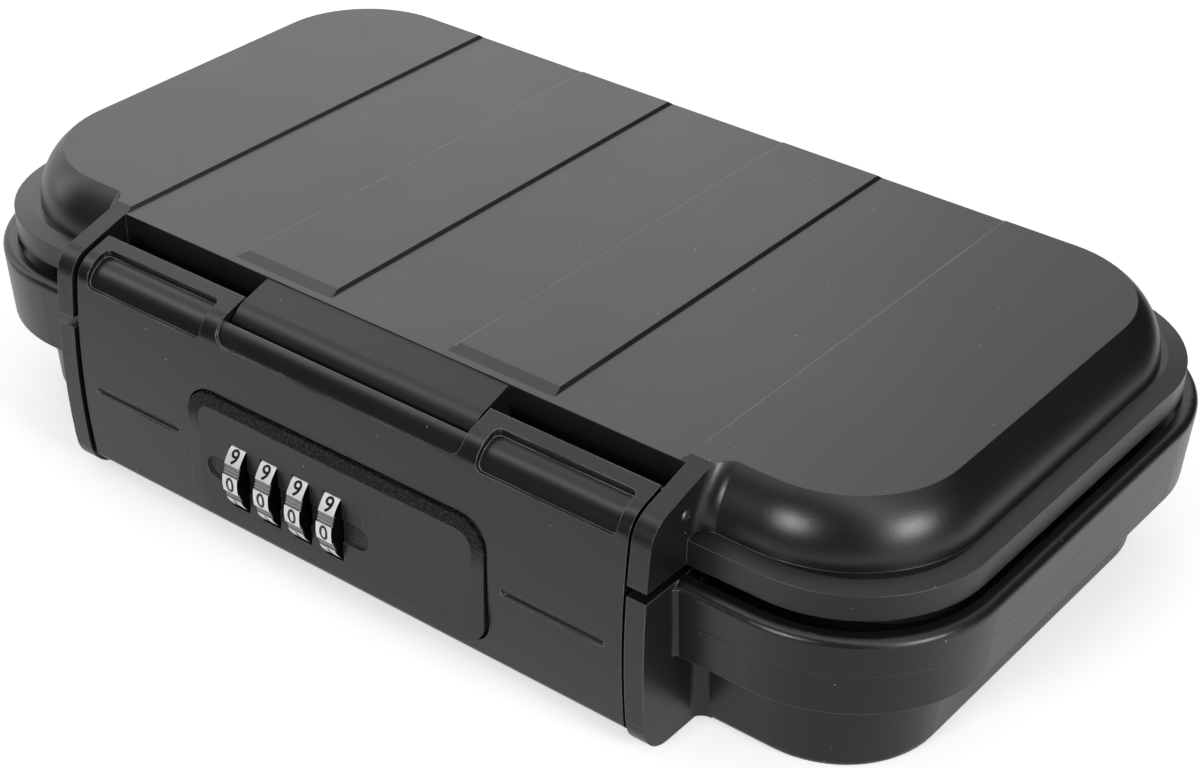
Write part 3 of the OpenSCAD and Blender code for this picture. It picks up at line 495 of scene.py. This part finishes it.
@dataclass(frozen=True)
class PanelPlastic(MouldedPlastic):
    """The lock panel's plastic, with a dull stippled border along its top.

    Attributes:
        half_x, half_z: half sizes of the panel's face, in millimetres.
        centre_z: height of its middle.
        corner: radius of its corners.
        border: width of the stippled border.
        border_blur: how far its inner edge is blurred.
        border_rise: how far above the middle the border begins and is full.
        border_dull: how far the border is dull.
        stipple_mm: distance between the pits.
        stipple_depth_mm: their depth.
        pit_reach: where a pit's side begins and ends, as shares of that distance.
        recess: half sizes of the pointer recess.
        recess_x, recess_z: its middle.
        recess_fade: distances from its edge at which its mask begins and is full.
        recess_stipple: how far the recess is stippled.
        recess_dull: how far the recess is dull.
    """

    half_x: float = 33.3
    half_z: float = 12.5
    centre_z: float = 19.0
    corner: float = 5.6
    border: float = 2.6
    border_blur: float = 0.15
    border_rise: Span = (3.5, 8.5)
    border_dull: float = 0.97
    stipple_mm: float = 0.5
    stipple_depth_mm: float = 0.16
    pit_reach: Span = (0.15, 0.75)
    recess: Span = (18.8, 2.35)
    recess_x: float = -10.3
    recess_z: float = DIAL_AXIS_Z
    recess_fade: Span = (0.1, -0.6)
    recess_stipple: float = 0.4
    recess_dull: float = 0.3

    DULL_TONES: ClassVar[Span] = (0.003, 0.03)
    DULL_PATCHES: ClassVar[Span] = (0.5, 0.68)
    DULL_ROUGHNESS: ClassVar[float] = 0.55
    DULL_SPECULAR: ClassVar[float] = 0.12
    ROUND_END_GAP: ClassVar[float] = 0.01

    def rounded(self, graph: Graph, place: Value, box: Box, corner: float) -> Value:
        """Distance from a rounded rectangle on the face, negative inside it.

        Args:
            graph: the material's graph.
            place: the position in metres.
            box: its middle in X and Z and its half sizes, in millimetres.
            corner: radius of its corners.

        Returns:
            The distance in millimetres.
        """
        x, _, z = graph.axes(place)
        over_x = (x - box[0]).magnitude() - (box[2] - corner)
        over_z = (z - box[1]).magnitude() - (box[3] - corner)
        out_x, out_z = over_x.at_least(0.0), over_z.at_least(0.0)
        round_part = (out_x * out_x + out_z * out_z) ** 0.5
        return round_part + over_x.at_least(over_z).at_most(0.0) - corner

    def edge_mask(self, graph: Graph, place: Value) -> Value:
        """Masks the stippled border.

        Args:
            graph: the material's graph.
            place: the position in metres.

        Returns:
            The mask: 1 along the face's top and 0 on the smooth rest.
        """
        box = (0.0, self.centre_z, self.half_x, self.half_z)
        inside = self.rounded(graph, place, box, self.corner)
        start, end = (self.centre_z + rise for rise in self.border_rise)
        top = graph.axes(place)[2].step(start, end)
        start, end = -self.border - self.border_blur, -self.border + self.border_blur
        return inside.step(start, end) * top

    def recess_mask(self, graph: Graph, place: Value) -> Value:
        """Masks the pointer recess, whose ends are round.

        Args:
            graph: the material's graph.
            place: the position in metres.

        Returns:
            The mask: 1 on its floor and 0 on the face.
        """
        half_x, half_z = self.recess
        box = (self.recess_x, self.recess_z, half_x, half_z)
        inside = self.rounded(graph, place, box, half_z - self.ROUND_END_GAP)
        return inside.step(*self.recess_fade)

    def relief(self, graph: Graph, place: Value, normal: Value) -> Value:
        """Adds the texture and the stipple.

        Args:
            graph: the material's graph.
            place: the position in metres.
            normal: the softened normal.

        Returns:
            The normal with its relief.
        """
        textured = super().relief(graph, place, normal)
        recess = self.recess_mask(graph, place) * self.recess_stipple
        mask = self.edge_mask(graph, place).at_least(recess)
        pits = graph.cells(place, self.stipple_mm).step(*self.pit_reach)
        return graph.bump(pits * mask, self.stipple_depth_mm, textured)

    def surface(self, graph: Graph, place: Value, normal: Value) -> Value:
        """Builds the shader: satin on the face, dull on the border and in the recess.

        Args:
            graph: the material's graph.
            place: the position in metres.
            normal: the normal with its relief.

        Returns:
            The shader.
        """
        satin = super().surface(graph, place, normal)
        speckle = graph.noise(place, self.stipple_mm, detail=2.0).step(*self.DULL_PATCHES)
        dark, light = (grey(tone) for tone in self.DULL_TONES)
        dull = graph.node(
            "ShaderNodeBsdfPrincipled",
            inputs={
                "Base Color": graph.blend(speckle, dark, light),
                "Roughness": self.DULL_ROUGHNESS,
                "Specular IOR Level": self.DULL_SPECULAR,
                "Normal": normal,
            },
        )
        border = self.edge_mask(graph, place) * self.border_dull
        amount = border.at_least(self.recess_mask(graph, place) * self.recess_dull)
        return graph.node("ShaderNodeMixShader", inputs={0: amount, 1: satin, 2: dull})


class Surface(Enum):
    """How a metal was finished."""

    PLATED = "plated"
    DRAWN = "drawn"
    ROLLED = "rolled"
    CAST = "cast"
    TURNED = "turned"


@dataclass(frozen=True)
class Metal:
    """A metal with the marks that its making leaves.

    Attributes:
        name: the material's name.
        colour: the base colour.
        roughness: the mean roughness.
        surface: how it was finished.
        edge_mm: radius that softens the edges.

    STRETCH holds how far each finish draws its grain out along X, Y and Z, and GRAIN holds the
    grain's size and depth in millimetres.
    """

    name: str
    colour: Colour
    roughness: float
    surface: Surface
    edge_mm: float = 0.15

    WEAR_MM: ClassVar[float] = 3.5
    WEAR_TONE: ClassVar[float] = 0.82
    WEAR_ROUGHNESS: ClassVar[float] = 0.1
    GRAIN_ROUGHNESS: ClassVar[float] = 0.14
    STRETCH: ClassVar[dict[Surface, Point]] = {
        Surface.PLATED: (1.0, 1.0, 1.0),
        Surface.DRAWN: (0.06, 1.0, 1.0),
        Surface.ROLLED: (0.08, 1.0, 1.0),
        Surface.CAST: (1.0, 1.0, 1.0),
        Surface.TURNED: (1.0, 0.12, 0.12),
    }
    GRAIN: ClassVar[dict[Surface, Span]] = {
        Surface.PLATED: (0.5, 0.003),
        Surface.DRAWN: (0.12, 0.004),
        Surface.ROLLED: (0.15, 0.004),
        Surface.CAST: (0.45, 0.012),
        Surface.TURNED: (0.12, 0.004),
    }

    def make(self) -> bpy.types.Material:
        """Builds the material.

        Returns:
            The material, with its whole graph.
        """
        material, graph = new_graph(self.name)
        place = graph.place()
        size, depth = self.GRAIN[self.surface]
        stretch = {"Vector": place, "Scale": self.STRETCH[self.surface]}
        stretched = graph.node("ShaderNodeMapping", inputs=stretch)
        grain = graph.noise(stretched, size, detail=2.0)
        wear = graph.noise(place, self.WEAR_MM, detail=4.0)
        bright = graph.blend(wear, opaque(self.colour, self.WEAR_TONE), opaque(self.colour))
        colour = self.shade(graph, place, bright)
        rough = self.roughness + (grain - 0.5) * self.GRAIN_ROUGHNESS
        rough = rough + (wear - 0.5) * self.WEAR_ROUGHNESS
        normal = graph.bump(grain, depth, graph.soft_edges(self.edge_mm))
        inputs = {"Base Color": colour, "Metallic": 1.0, "Roughness": rough, "Normal": normal}
        shader = graph.node("ShaderNodeBsdfPrincipled", inputs=inputs)
        graph.node("ShaderNodeOutputMaterial", inputs={"Surface": shader})
        return material

    def shade(self, graph: Graph, place: Value, bright: Value) -> Value:
        """The colour over the surface; a plain metal keeps its bright one."""
        return bright


@dataclass(frozen=True)
class DialMetal(Metal):
    """Plated metal that is bright on the number pads and dark in the waists, with painted shade on
    the sides, where they sit in the slots.

    Attributes:
        pad_r: radius from which the number pads are bright, in millimetres.
        pad_fade: how far below it the waists' colour is full.
        waist: level of the waists between the pads.
        flank: level of the painted shade on the sides.
        flank_turn: how sideways a face is where the painted shade begins and is full.
    """

    pad_r: float = 8.3
    pad_fade: float = 0.08
    waist: float = 0.3
    flank: float = 0.01
    flank_turn: Span = (0.8, 0.95)

    def shade(self, graph: Graph, place: Value, bright: Value) -> Value:
        """Darkens what lies below the pads and paints shade on the sides.

        Args:
            graph: the material's graph.
            place: the position in metres.
            bright: the pads' colour.

        Returns:
            The colour over the whole dial.
        """
        _, y, z = graph.axes(place)
        off_y, off_z = y - DIAL_AXIS_Y, z - DIAL_AXIS_Z
        radius = (off_y * off_y + off_z * off_z) ** 0.5
        face = graph.node("ShaderNodeNewGeometry", output="True Normal")
        side = graph.node("ShaderNodeSeparateXYZ", inputs={0: face}, output=0).magnitude()
        low = radius.step(self.pad_r, self.pad_r - self.pad_fade)
        rim = graph.blend(low, bright, grey(self.waist))
        # Painted shade: the sides, which sit in the slots, are painted near black.
        return graph.blend(side.step(*self.flank_turn), rim, grey(self.flank))


@dataclass(frozen=True)
class SoftFill:
    """Rubber, acetal or enamel: a dull or glossy body with a fine skin.

    Attributes:
        name: the material's name.
        colour: the base colour.
        roughness: the mean roughness.
        skin_mm: size of the skin's texture.
        skin_depth_mm: depth of that texture.
    """

    name: str
    colour: Colour
    roughness: float
    skin_mm: float = 0.4
    skin_depth_mm: float = 0.01

    CLOUD_MM: ClassVar[float] = 6.0
    CLOUD_TONE: ClassVar[float] = 0.8
    SKIN_ROUGHNESS: ClassVar[float] = 0.12
    EDGE_MM: ClassVar[float] = 0.12

    def make(self) -> bpy.types.Material:
        """Builds the material.

        Returns:
            The material, with its whole graph.
        """
        material, graph = new_graph(self.name)
        place = graph.place()
        skin = graph.noise(place, self.skin_mm)
        cloud = graph.noise(place, self.CLOUD_MM)
        dark = opaque(self.colour, self.CLOUD_TONE)
        colour = graph.blend(cloud, dark, opaque(self.colour))
        rough = self.roughness + (skin - 0.5) * self.SKIN_ROUGHNESS
        normal = graph.bump(skin, self.skin_depth_mm, graph.soft_edges(self.EDGE_MM))
        inputs = {"Base Color": colour, "Roughness": rough, "Normal": normal}
        shader = graph.node("ShaderNodeBsdfPrincipled", inputs=inputs)
        graph.node("ShaderNodeOutputMaterial", inputs={"Surface": shader})
        return material


Finish = Union[MouldedPlastic, Metal, SoftFill]
PIN_STEEL = Metal("pin_steel", (0.62, 0.62, 0.63), 0.3, Surface.DRAWN)
SCREW_STEEL = Metal("screw_steel", (0.6, 0.6, 0.61), 0.28, Surface.PLATED)


@dataclass
class Assembly:
    """A sub-assembly of the box: its nodes, each with its finish."""

    finishes: dict[str, Finish] = field(default_factory=dict)
    made: ClassVar[dict[str, bpy.types.Material]] = {}

    def material(self, finish: Finish) -> bpy.types.Material:
        """Finds a finish's material, which is made once.

        Args:
            finish: the finish.

        Returns:
            Its material.
        """
        if finish.name not in self.made:
            self.made[finish.name] = finish.make()
        return self.made[finish.name]

    def dress(self) -> None:
        """Gives each node its finish."""
        for name, finish in self.finishes.items():
            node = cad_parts[name]
            node.data.materials.clear()
            node.data.materials.append(self.material(finish))
            LOG.info("%s: %s", name, finish.name)

    def build(self) -> None:
        """Dresses the nodes; a sub-assembly with pieces of its own adds them."""
        self.dress()


@dataclass
class CaseBody(Assembly):
    """The base: tray, seal, strike and hinge pins."""

    def __post_init__(self) -> None:
        """Names the finishes."""
        self.finishes = {
            "base_tray": RimPlastic("case_plastic", tone=0.008, roughness=0.3, edge_mm=0.3),
            "seal_ring": SoftFill("seal_rubber", (0.03, 0.03, 0.03), 0.62),
            "hinge_pins": PIN_STEEL,
            "strike": Metal("strike_steel", (0.58, 0.58, 0.6), 0.32, Surface.ROLLED),
            "strike_screws": SCREW_STEEL,
        }


@dataclass
class LidBody(Assembly):
    """The lid and the pin that the latch swings on."""

    def __post_init__(self) -> None:
        """Names the finishes."""
        self.finishes = {
            "lid_shell": LidPlastic(
                "lid_plastic", tone=0.008, roughness=0.31, texture_depth_mm=0.014
            ),
            "latch_pin": Metal("latch_pin_steel", (0.3, 0.3, 0.31), 0.34, Surface.DRAWN),
        }


@dataclass
class LatchFlap(Assembly):
    """The swing-down flap with its rear cover, screws and panel."""

    def __post_init__(self) -> None:
        """Names the finishes."""
        self.finishes = {
            "latch_shell": MouldedPlastic(
                "latch_plastic", tone=0.009, roughness=0.26, edge_mm=0.24, wear=0.6
            ),
            "latch_cover": MouldedPlastic(
                "cover_plastic", tone=0.012, roughness=0.5, texture_mm=0.5
            ),
            "cover_screws": SCREW_STEEL,
            "lock_panel": PanelPlastic("panel_plastic", tone=0.009, roughness=0.36),
        }


@dataclass
class LockWorks(Assembly):
    """The works inside the latch."""

    def __post_init__(self) -> None:
        """Names the finishes."""
        brass = Metal("sleeve_brass", (0.5, 0.39, 0.2), 0.4, Surface.TURNED)
        spring = Metal("spring_steel", (0.55, 0.56, 0.58), 0.26, Surface.ROLLED)
        bolt = Metal("bolt_steel", (0.58, 0.58, 0.6), 0.3, Surface.ROLLED)
        self.finishes = {
            "lock_frame": Metal("frame_metal", (0.5, 0.51, 0.52), 0.46, Surface.CAST),
            "spindle": PIN_STEEL,
            "lock_bolt": bolt,
            "spindle_clip": spring,
            "detent_spring": spring,
            "reset_lever": SoftFill("lever_plastic", (0.3, 0.07, 0.06), 0.4),
            **{f"code_sleeve_{n}": brass for n in DIALS},
        }


@dataclass
class NumberWheels(Assembly):
    """The four dials and their numerals.

    Attributes:
        centres: the dials' middles along X, in millimetres.
        radius: the dials' radius.
        height: height of a numeral.
        width: widest width of a numeral.
        draft: size of the type that it is drawn in, before it is scaled.
        bold: how far its strokes are thickened at that size.
        lift: half of its thickness there, before it is bent.
        curve_steps: how many lines each of its curves becomes.
        merge: corners nearer than this become one.
        proud: how far the enamel stands out of the metal.
        sunk: how deep it goes into the metal.
        count: the numerals on a dial.
        strips: how many strips a numeral is cut into, so that it can be bent.
        sharp: the angle above which an edge stays sharp, in degrees.
    """

    centres: tuple[float, ...] = (-21.25, -13.95, -6.65, 0.65)
    radius: float = 8.4
    height: float = 2.9
    width: float = 1.95
    draft: float = 4.0
    bold: float = 0.065
    lift: float = 0.06
    curve_steps: int = 6
    merge: float = 1e-4
    proud: float = 0.02
    sunk: float = 0.12
    count: int = 10
    strips: int = 11
    sharp: float = 30.0

    def __post_init__(self) -> None:
        """Names the finishes."""
        metal = DialMetal("dial_metal", (0.88, 0.88, 0.89), 0.5, Surface.PLATED, edge_mm=0.1)
        self.finishes = {f"dial_{n}": metal for n in DIALS}
        self.enamel = SoftFill("numeral_enamel", (0.004, 0.004, 0.004), 0.35)

    def numeral(self, digit: int) -> bpy.types.Object:
        """Models one numeral, flat, in millimetres about its middle.

        Args:
            digit: the number that it shows.

        Returns:
            The mesh object, cut into narrow strips so that it can be bent.
        """
        bpy.ops.object.select_all(action="DESELECT")
        bpy.ops.object.text_add(location=(0, 0, 0))
        text = bpy.context.object
        text.data.body = str(digit)
        text.data.size = self.draft
        text.data.extrude = self.lift
        text.data.offset = self.bold
        text.data.resolution_u = self.curve_steps
        bpy.ops.object.convert(target="MESH")
        mesh_object = bpy.context.object
        bpy.ops.object.mode_set(mode="EDIT")
        bpy.ops.mesh.select_all(action="SELECT")
        bpy.ops.mesh.remove_doubles(threshold=self.merge)
        half = self.strips // 2
        for k in range(-half, half + 1):
            bpy.ops.mesh.select_all(action="SELECT")
            low = min(v.co.y for v in mesh_object.data.vertices)
            high = max(v.co.y for v in mesh_object.data.vertices)
            level = (low + high) / 2 + (high - low) * k / self.strips
            bpy.ops.mesh.bisect(plane_co=(0, level, 0), plane_no=(0, 1, 0))
        bpy.ops.object.mode_set(mode="OBJECT")
        corners = [v.co.copy() for v in mesh_object.data.vertices]
        low_x, high_x = min(c.x for c in corners), max(c.x for c in corners)
        low_y, high_y = min(c.y for c in corners), max(c.y for c in corners)
        scale_y = self.height / (high_y - low_y)
        scale_x = min(self.width / (high_x - low_x), scale_y)
        for v in mesh_object.data.vertices:
            v.co.x = (v.co.x - (low_x + high_x) / 2) * scale_x
            v.co.y = (v.co.y - (low_y + high_y) / 2) * scale_y
        return mesh_object

    def wrap(self, mesh: bpy.types.Mesh, dial: int, angle: float) -> None:
        """Bends a flat numeral round its dial.

        Args:
            mesh: the flat numeral.
            dial: the dial's number, from 1.
            angle: how far above the front the numeral stands, in degrees.
        """
        for v in mesh.vertices:
            depth = self.proud if v.co.z > 0 else -self.sunk
            reach = self.radius + depth
            turn = math.radians(angle) + v.co.y / self.radius
            y = DIAL_AXIS_Y - reach * math.cos(turn)
            z = DIAL_AXIS_Z + reach * math.sin(turn)
            v.co = Vector((self.centres[dial - 1] + v.co.x, y, z)) * MM

    def build(self) -> None:
        """Dresses the dials and lays their numerals on."""
        self.dress()
        flat = [self.numeral(digit) for digit in range(self.count)]
        step = 360 / self.count
        for dial in DIALS:
            bpy.ops.object.select_all(action="DESELECT")
            copies = []
            for digit, source in enumerate(flat):
                copy = source.copy()
                copy.data = source.data.copy()
                bpy.context.collection.objects.link(copy)
                self.wrap(copy.data, dial, -step * digit)
                copies.append(copy)
            for copy in copies:
                copy.select_set(True)
            bpy.context.view_layer.objects.active = copies[0]
            bpy.ops.object.join()
            numerals = bpy.context.object
            numerals.name = f"numerals_{dial}"
            numerals.data.name = numerals.name
            numerals.data.materials.clear()
            numerals.data.materials.append(self.material(self.enamel))
            bpy.ops.object.mode_set(mode="EDIT")
            bpy.ops.mesh.select_all(action="SELECT")
            bpy.ops.mesh.normals_make_consistent(inside=False)
            bpy.ops.object.mode_set(mode="OBJECT")
            bpy.ops.object.shade_smooth_by_angle(angle=math.radians(self.sharp))
            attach(numerals, f"wheel_{dial}")
            LOG.info("%s: %d faces", numerals.name, len(numerals.data.polygons))
        for source in flat:
            bpy.data.objects.remove(source)


@dataclass(frozen=True)
class SoftBox:
    """A rectangular lamp that points at the box.

    Attributes:
        name: the lamp's name.
        place: where it hangs, in metres.
        size: its width and height, in metres.
        watts: its power.
    """

    name: str
    place: Point
    size: Span
    watts: float

    AIM: ClassVar[Point] = (0, 0, 0.02)

    def hang(self) -> None:
        """Adds the lamp to the scene."""
        light = bpy.data.lights.new(self.name, "AREA")
        light.shape = "RECTANGLE"
        light.size, light.size_y = self.size
        light.energy = self.watts
        lamp = bpy.data.objects.new(self.name, light)
        bpy.context.scene.collection.objects.link(lamp)
        lamp.location = self.place
        way = Vector(self.AIM) - Vector(self.place)
        lamp.rotation_mode = "QUATERNION"
        lamp.rotation_quaternion = way.to_track_quat("-Z", "Y")


@dataclass
class Studio:
    """Floor, world, lamps and camera.

    Attributes:
        fill: the world's light on matt surfaces.
        card: level of the dark cards and of the painted shade on the floor.
        side: direction of the right-hand card, as its parts along X and Y.
        floor_size: the floor's side, in metres.
        floor_tone, floor_roughness: its colour's level and its roughness.
        floor_glow: light that the floor gives to the camera, so that it looks white.
        floor_gloss: the share of that light that reflections get.
        floor_front, floor_right: where the cards on the floor begin and are full, in millimetres.
        corner: middle of the patch of painted shade before the right corner, in millimetres.
        corner_reach: where that patch begins and is full, from its middle.
        corner_share: how dark that painted shade is.
        sky_front, sky_right: where the cards in the surround begin and are full.
        band_start, band_end: where the light band above the front card fades in and out.
        band_gain: how much brighter that band is.
        sky_gain: the surround's brightness.
        lens, sensor: the camera's focal length and the width of its sensor, in millimetres.
        azimuth, elevation, roll: the camera's angles, in degrees.
        eye: the camera's place, in metres.
        clip: the nearest and the farthest that the camera sees, in metres.
        boxes: the lamps.
    """

    fill: float = 0.42
    card: float = 0.02
    side: Span = (0.62, 0.78)
    floor_size: float = 6.0
    floor_tone: float = 0.86
    floor_roughness: float = 0.9
    floor_glow: float = 0.52
    floor_gloss: float = 0.6
    floor_front: Span = (-165.0, -250.0)
    floor_right: Span = (190.0, 260.0)
    corner: Span = (112.0, -78.0)
    corner_reach: Span = (58.0, 22.0)
    corner_share: float = 0.35
    sky_front: Span = (-0.4, -0.6)
    sky_right: Span = (0.45, 0.8)
    band_start: Span = (-0.14, -0.24)
    band_end: Span = (-0.46, -0.36)
    band_gain: float = 1.3
    sky_gain: float = 1.03
    lens: float = 73.37
    sensor: float = 36.0
    azimuth: float = 37.14
    elevation: float = 32.48
    roll: float = 1.29
    eye: Point = (0.23624, -0.30214, 0.25776)
    clip: Span = (0.01, 20.0)
    boxes: tuple[SoftBox, ...] = (
        SoftBox("back_box", (-0.75, 0.62, 0.72), (0.9, 0.8), 1.7),
        SoftBox("left_box", (0.0, -1.02, 0.41), (0.32, 0.3), 4.5),
        SoftBox("right_box", (1.01, -0.14, 0.35), (0.34, 0.3), 4.5),
    )

    def rays(self, graph: Graph) -> tuple[Value, Value, Value]:
        """Tells the kinds of rays apart.

        Args:
            graph: the graph that asks.

        Returns:
            1 or 0 for camera rays, for glossy rays and for transmission rays.
        """
        kinds = ("Is Camera Ray", "Is Glossy Ray", "Is Transmission Ray")
        camera, gloss, clear = (graph.node("ShaderNodeLightPath", output=kind) for kind in kinds)
        return camera, gloss, clear

    def floor(self) -> None:
        """Lays a plain pale floor, with dark cards and a patch of painted shade near the box that
        only reflections see.
        """
        bpy.ops.object.select_all(action="DESELECT")
        bpy.ops.mesh.primitive_plane_add(size=self.floor_size, location=(0, 0, 0))
        plane = bpy.context.object
        plane.name = "floor"
        material, graph = new_graph("floor_paint")
        camera, gloss, clear = self.rays(graph)
        seen = (camera + gloss * self.floor_gloss + clear).at_most(1.0)
        paint = graph.node(
            "ShaderNodeBsdfPrincipled",
            inputs={
                "Base Color": grey(self.floor_tone),
                "Roughness": self.floor_roughness,
                "Specular IOR Level": 0.0,
                "Emission Color": grey(1.0),
                "Emission Strength": seen * self.floor_glow,
            },
        )
        x, y, _ = graph.axes(graph.place())
        front_card = y.step(*self.floor_front)
        right_card = (x * self.side[0] + y * self.side[1]).step(*self.floor_right)
        # Painted shade: reflections see the floor before the right corner darker, standing in for
        # the box's shade there.
        off_x, off_y = x - self.corner[0], y - self.corner[1]
        off = (off_x * off_x + off_y * off_y) ** 0.5
        corner_shade = off.step(*self.corner_reach) * self.corner_share
        card = front_card.at_least(right_card).at_least(corner_shade) * gloss
        dark = graph.node("ShaderNodeEmission", inputs={"Color": grey(self.card), "Strength": 1.0})
        shader = graph.node("ShaderNodeMixShader", inputs={0: card, 1: paint, 2: dark})
        graph.node("ShaderNodeOutputMaterial", inputs={"Surface": shader})
        plane.data.materials.append(material)

    def world(self) -> None:
        """Sets a white surround; reflections see two dark cards and a light band in it."""
        world = bpy.data.worlds.new("studio")
        bpy.context.scene.world = world
        world.use_nodes = True
        graph = Graph(world.node_tree)
        camera, gloss, clear = self.rays(graph)
        seen = (camera + gloss + clear).at_most(1.0)
        strength = seen * (1.0 - self.fill) + self.fill
        way = graph.node("ShaderNodeTexCoord", output="Generated")
        x = graph.node("ShaderNodeSeparateXYZ", inputs={0: way}, output=0)
        y = graph.node("ShaderNodeSeparateXYZ", inputs={0: way}, output=1)
        right_card = (x * self.side[0] + y * self.side[1]).step(*self.sky_right)
        front_card = y.step(*self.sky_front)
        card = right_card.at_least(front_card) * gloss
        band = y.step(*self.band_start) * y.step(*self.band_end) * gloss
        colour = graph.blend(card, grey(1.0), grey(self.card))
        light = (strength + band * self.band_gain) * self.sky_gain
        back = graph.node("ShaderNodeBackground", inputs={"Color": colour, "Strength": light})
        graph.node("ShaderNodeOutputWorld", inputs={"Surface": back})

    def camera(self) -> None:
        """Puts the camera where the photograph was taken from."""
        a, e, r = (math.radians(v) for v in (self.azimuth, self.elevation, self.roll))
        back = Vector((math.sin(a) * math.cos(e), -math.cos(a) * math.cos(e), math.sin(e)))
        right = Vector((0, 0, 1)).cross(back).normalized()
        up = back.cross(right)
        turned_right = math.cos(r) * right + math.sin(r) * up
        turned_up = -math.sin(r) * right + math.cos(r) * up
        data = bpy.data.cameras.new("photo_camera")
        data.lens, data.sensor_width, data.sensor_fit = self.lens, self.sensor, "HORIZONTAL"
        data.clip_start, data.clip_end = self.clip
        camera = bpy.data.objects.new("photo_camera", data)
        bpy.context.scene.collection.objects.link(camera)
        turn = Matrix((turned_right, turned_up, back)).transposed().to_4x4()
        camera.matrix_world = Matrix.Translation(Vector(self.eye)) @ turn
        bpy.context.scene.camera = camera

    def build(self) -> None:
        """Sets up the whole studio."""
        self.floor()
        self.world()
        for box in self.boxes:
            box.hang()
        self.camera()
        bpy.context.scene.view_settings.view_transform = "Standard"


def main() -> None:
    """Builds the studio and dresses the box."""
    logging.basicConfig(level=logging.INFO, format="%(name)s: %(message)s")
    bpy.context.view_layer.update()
    Studio().build()
    for part in (CaseBody(), LidBody(), LatchFlap(), LockWorks(), NumberWheels()):
        LOG.info("building %s", type(part).__name__)
        part.build()


if __name__ == "__main__":
    main()
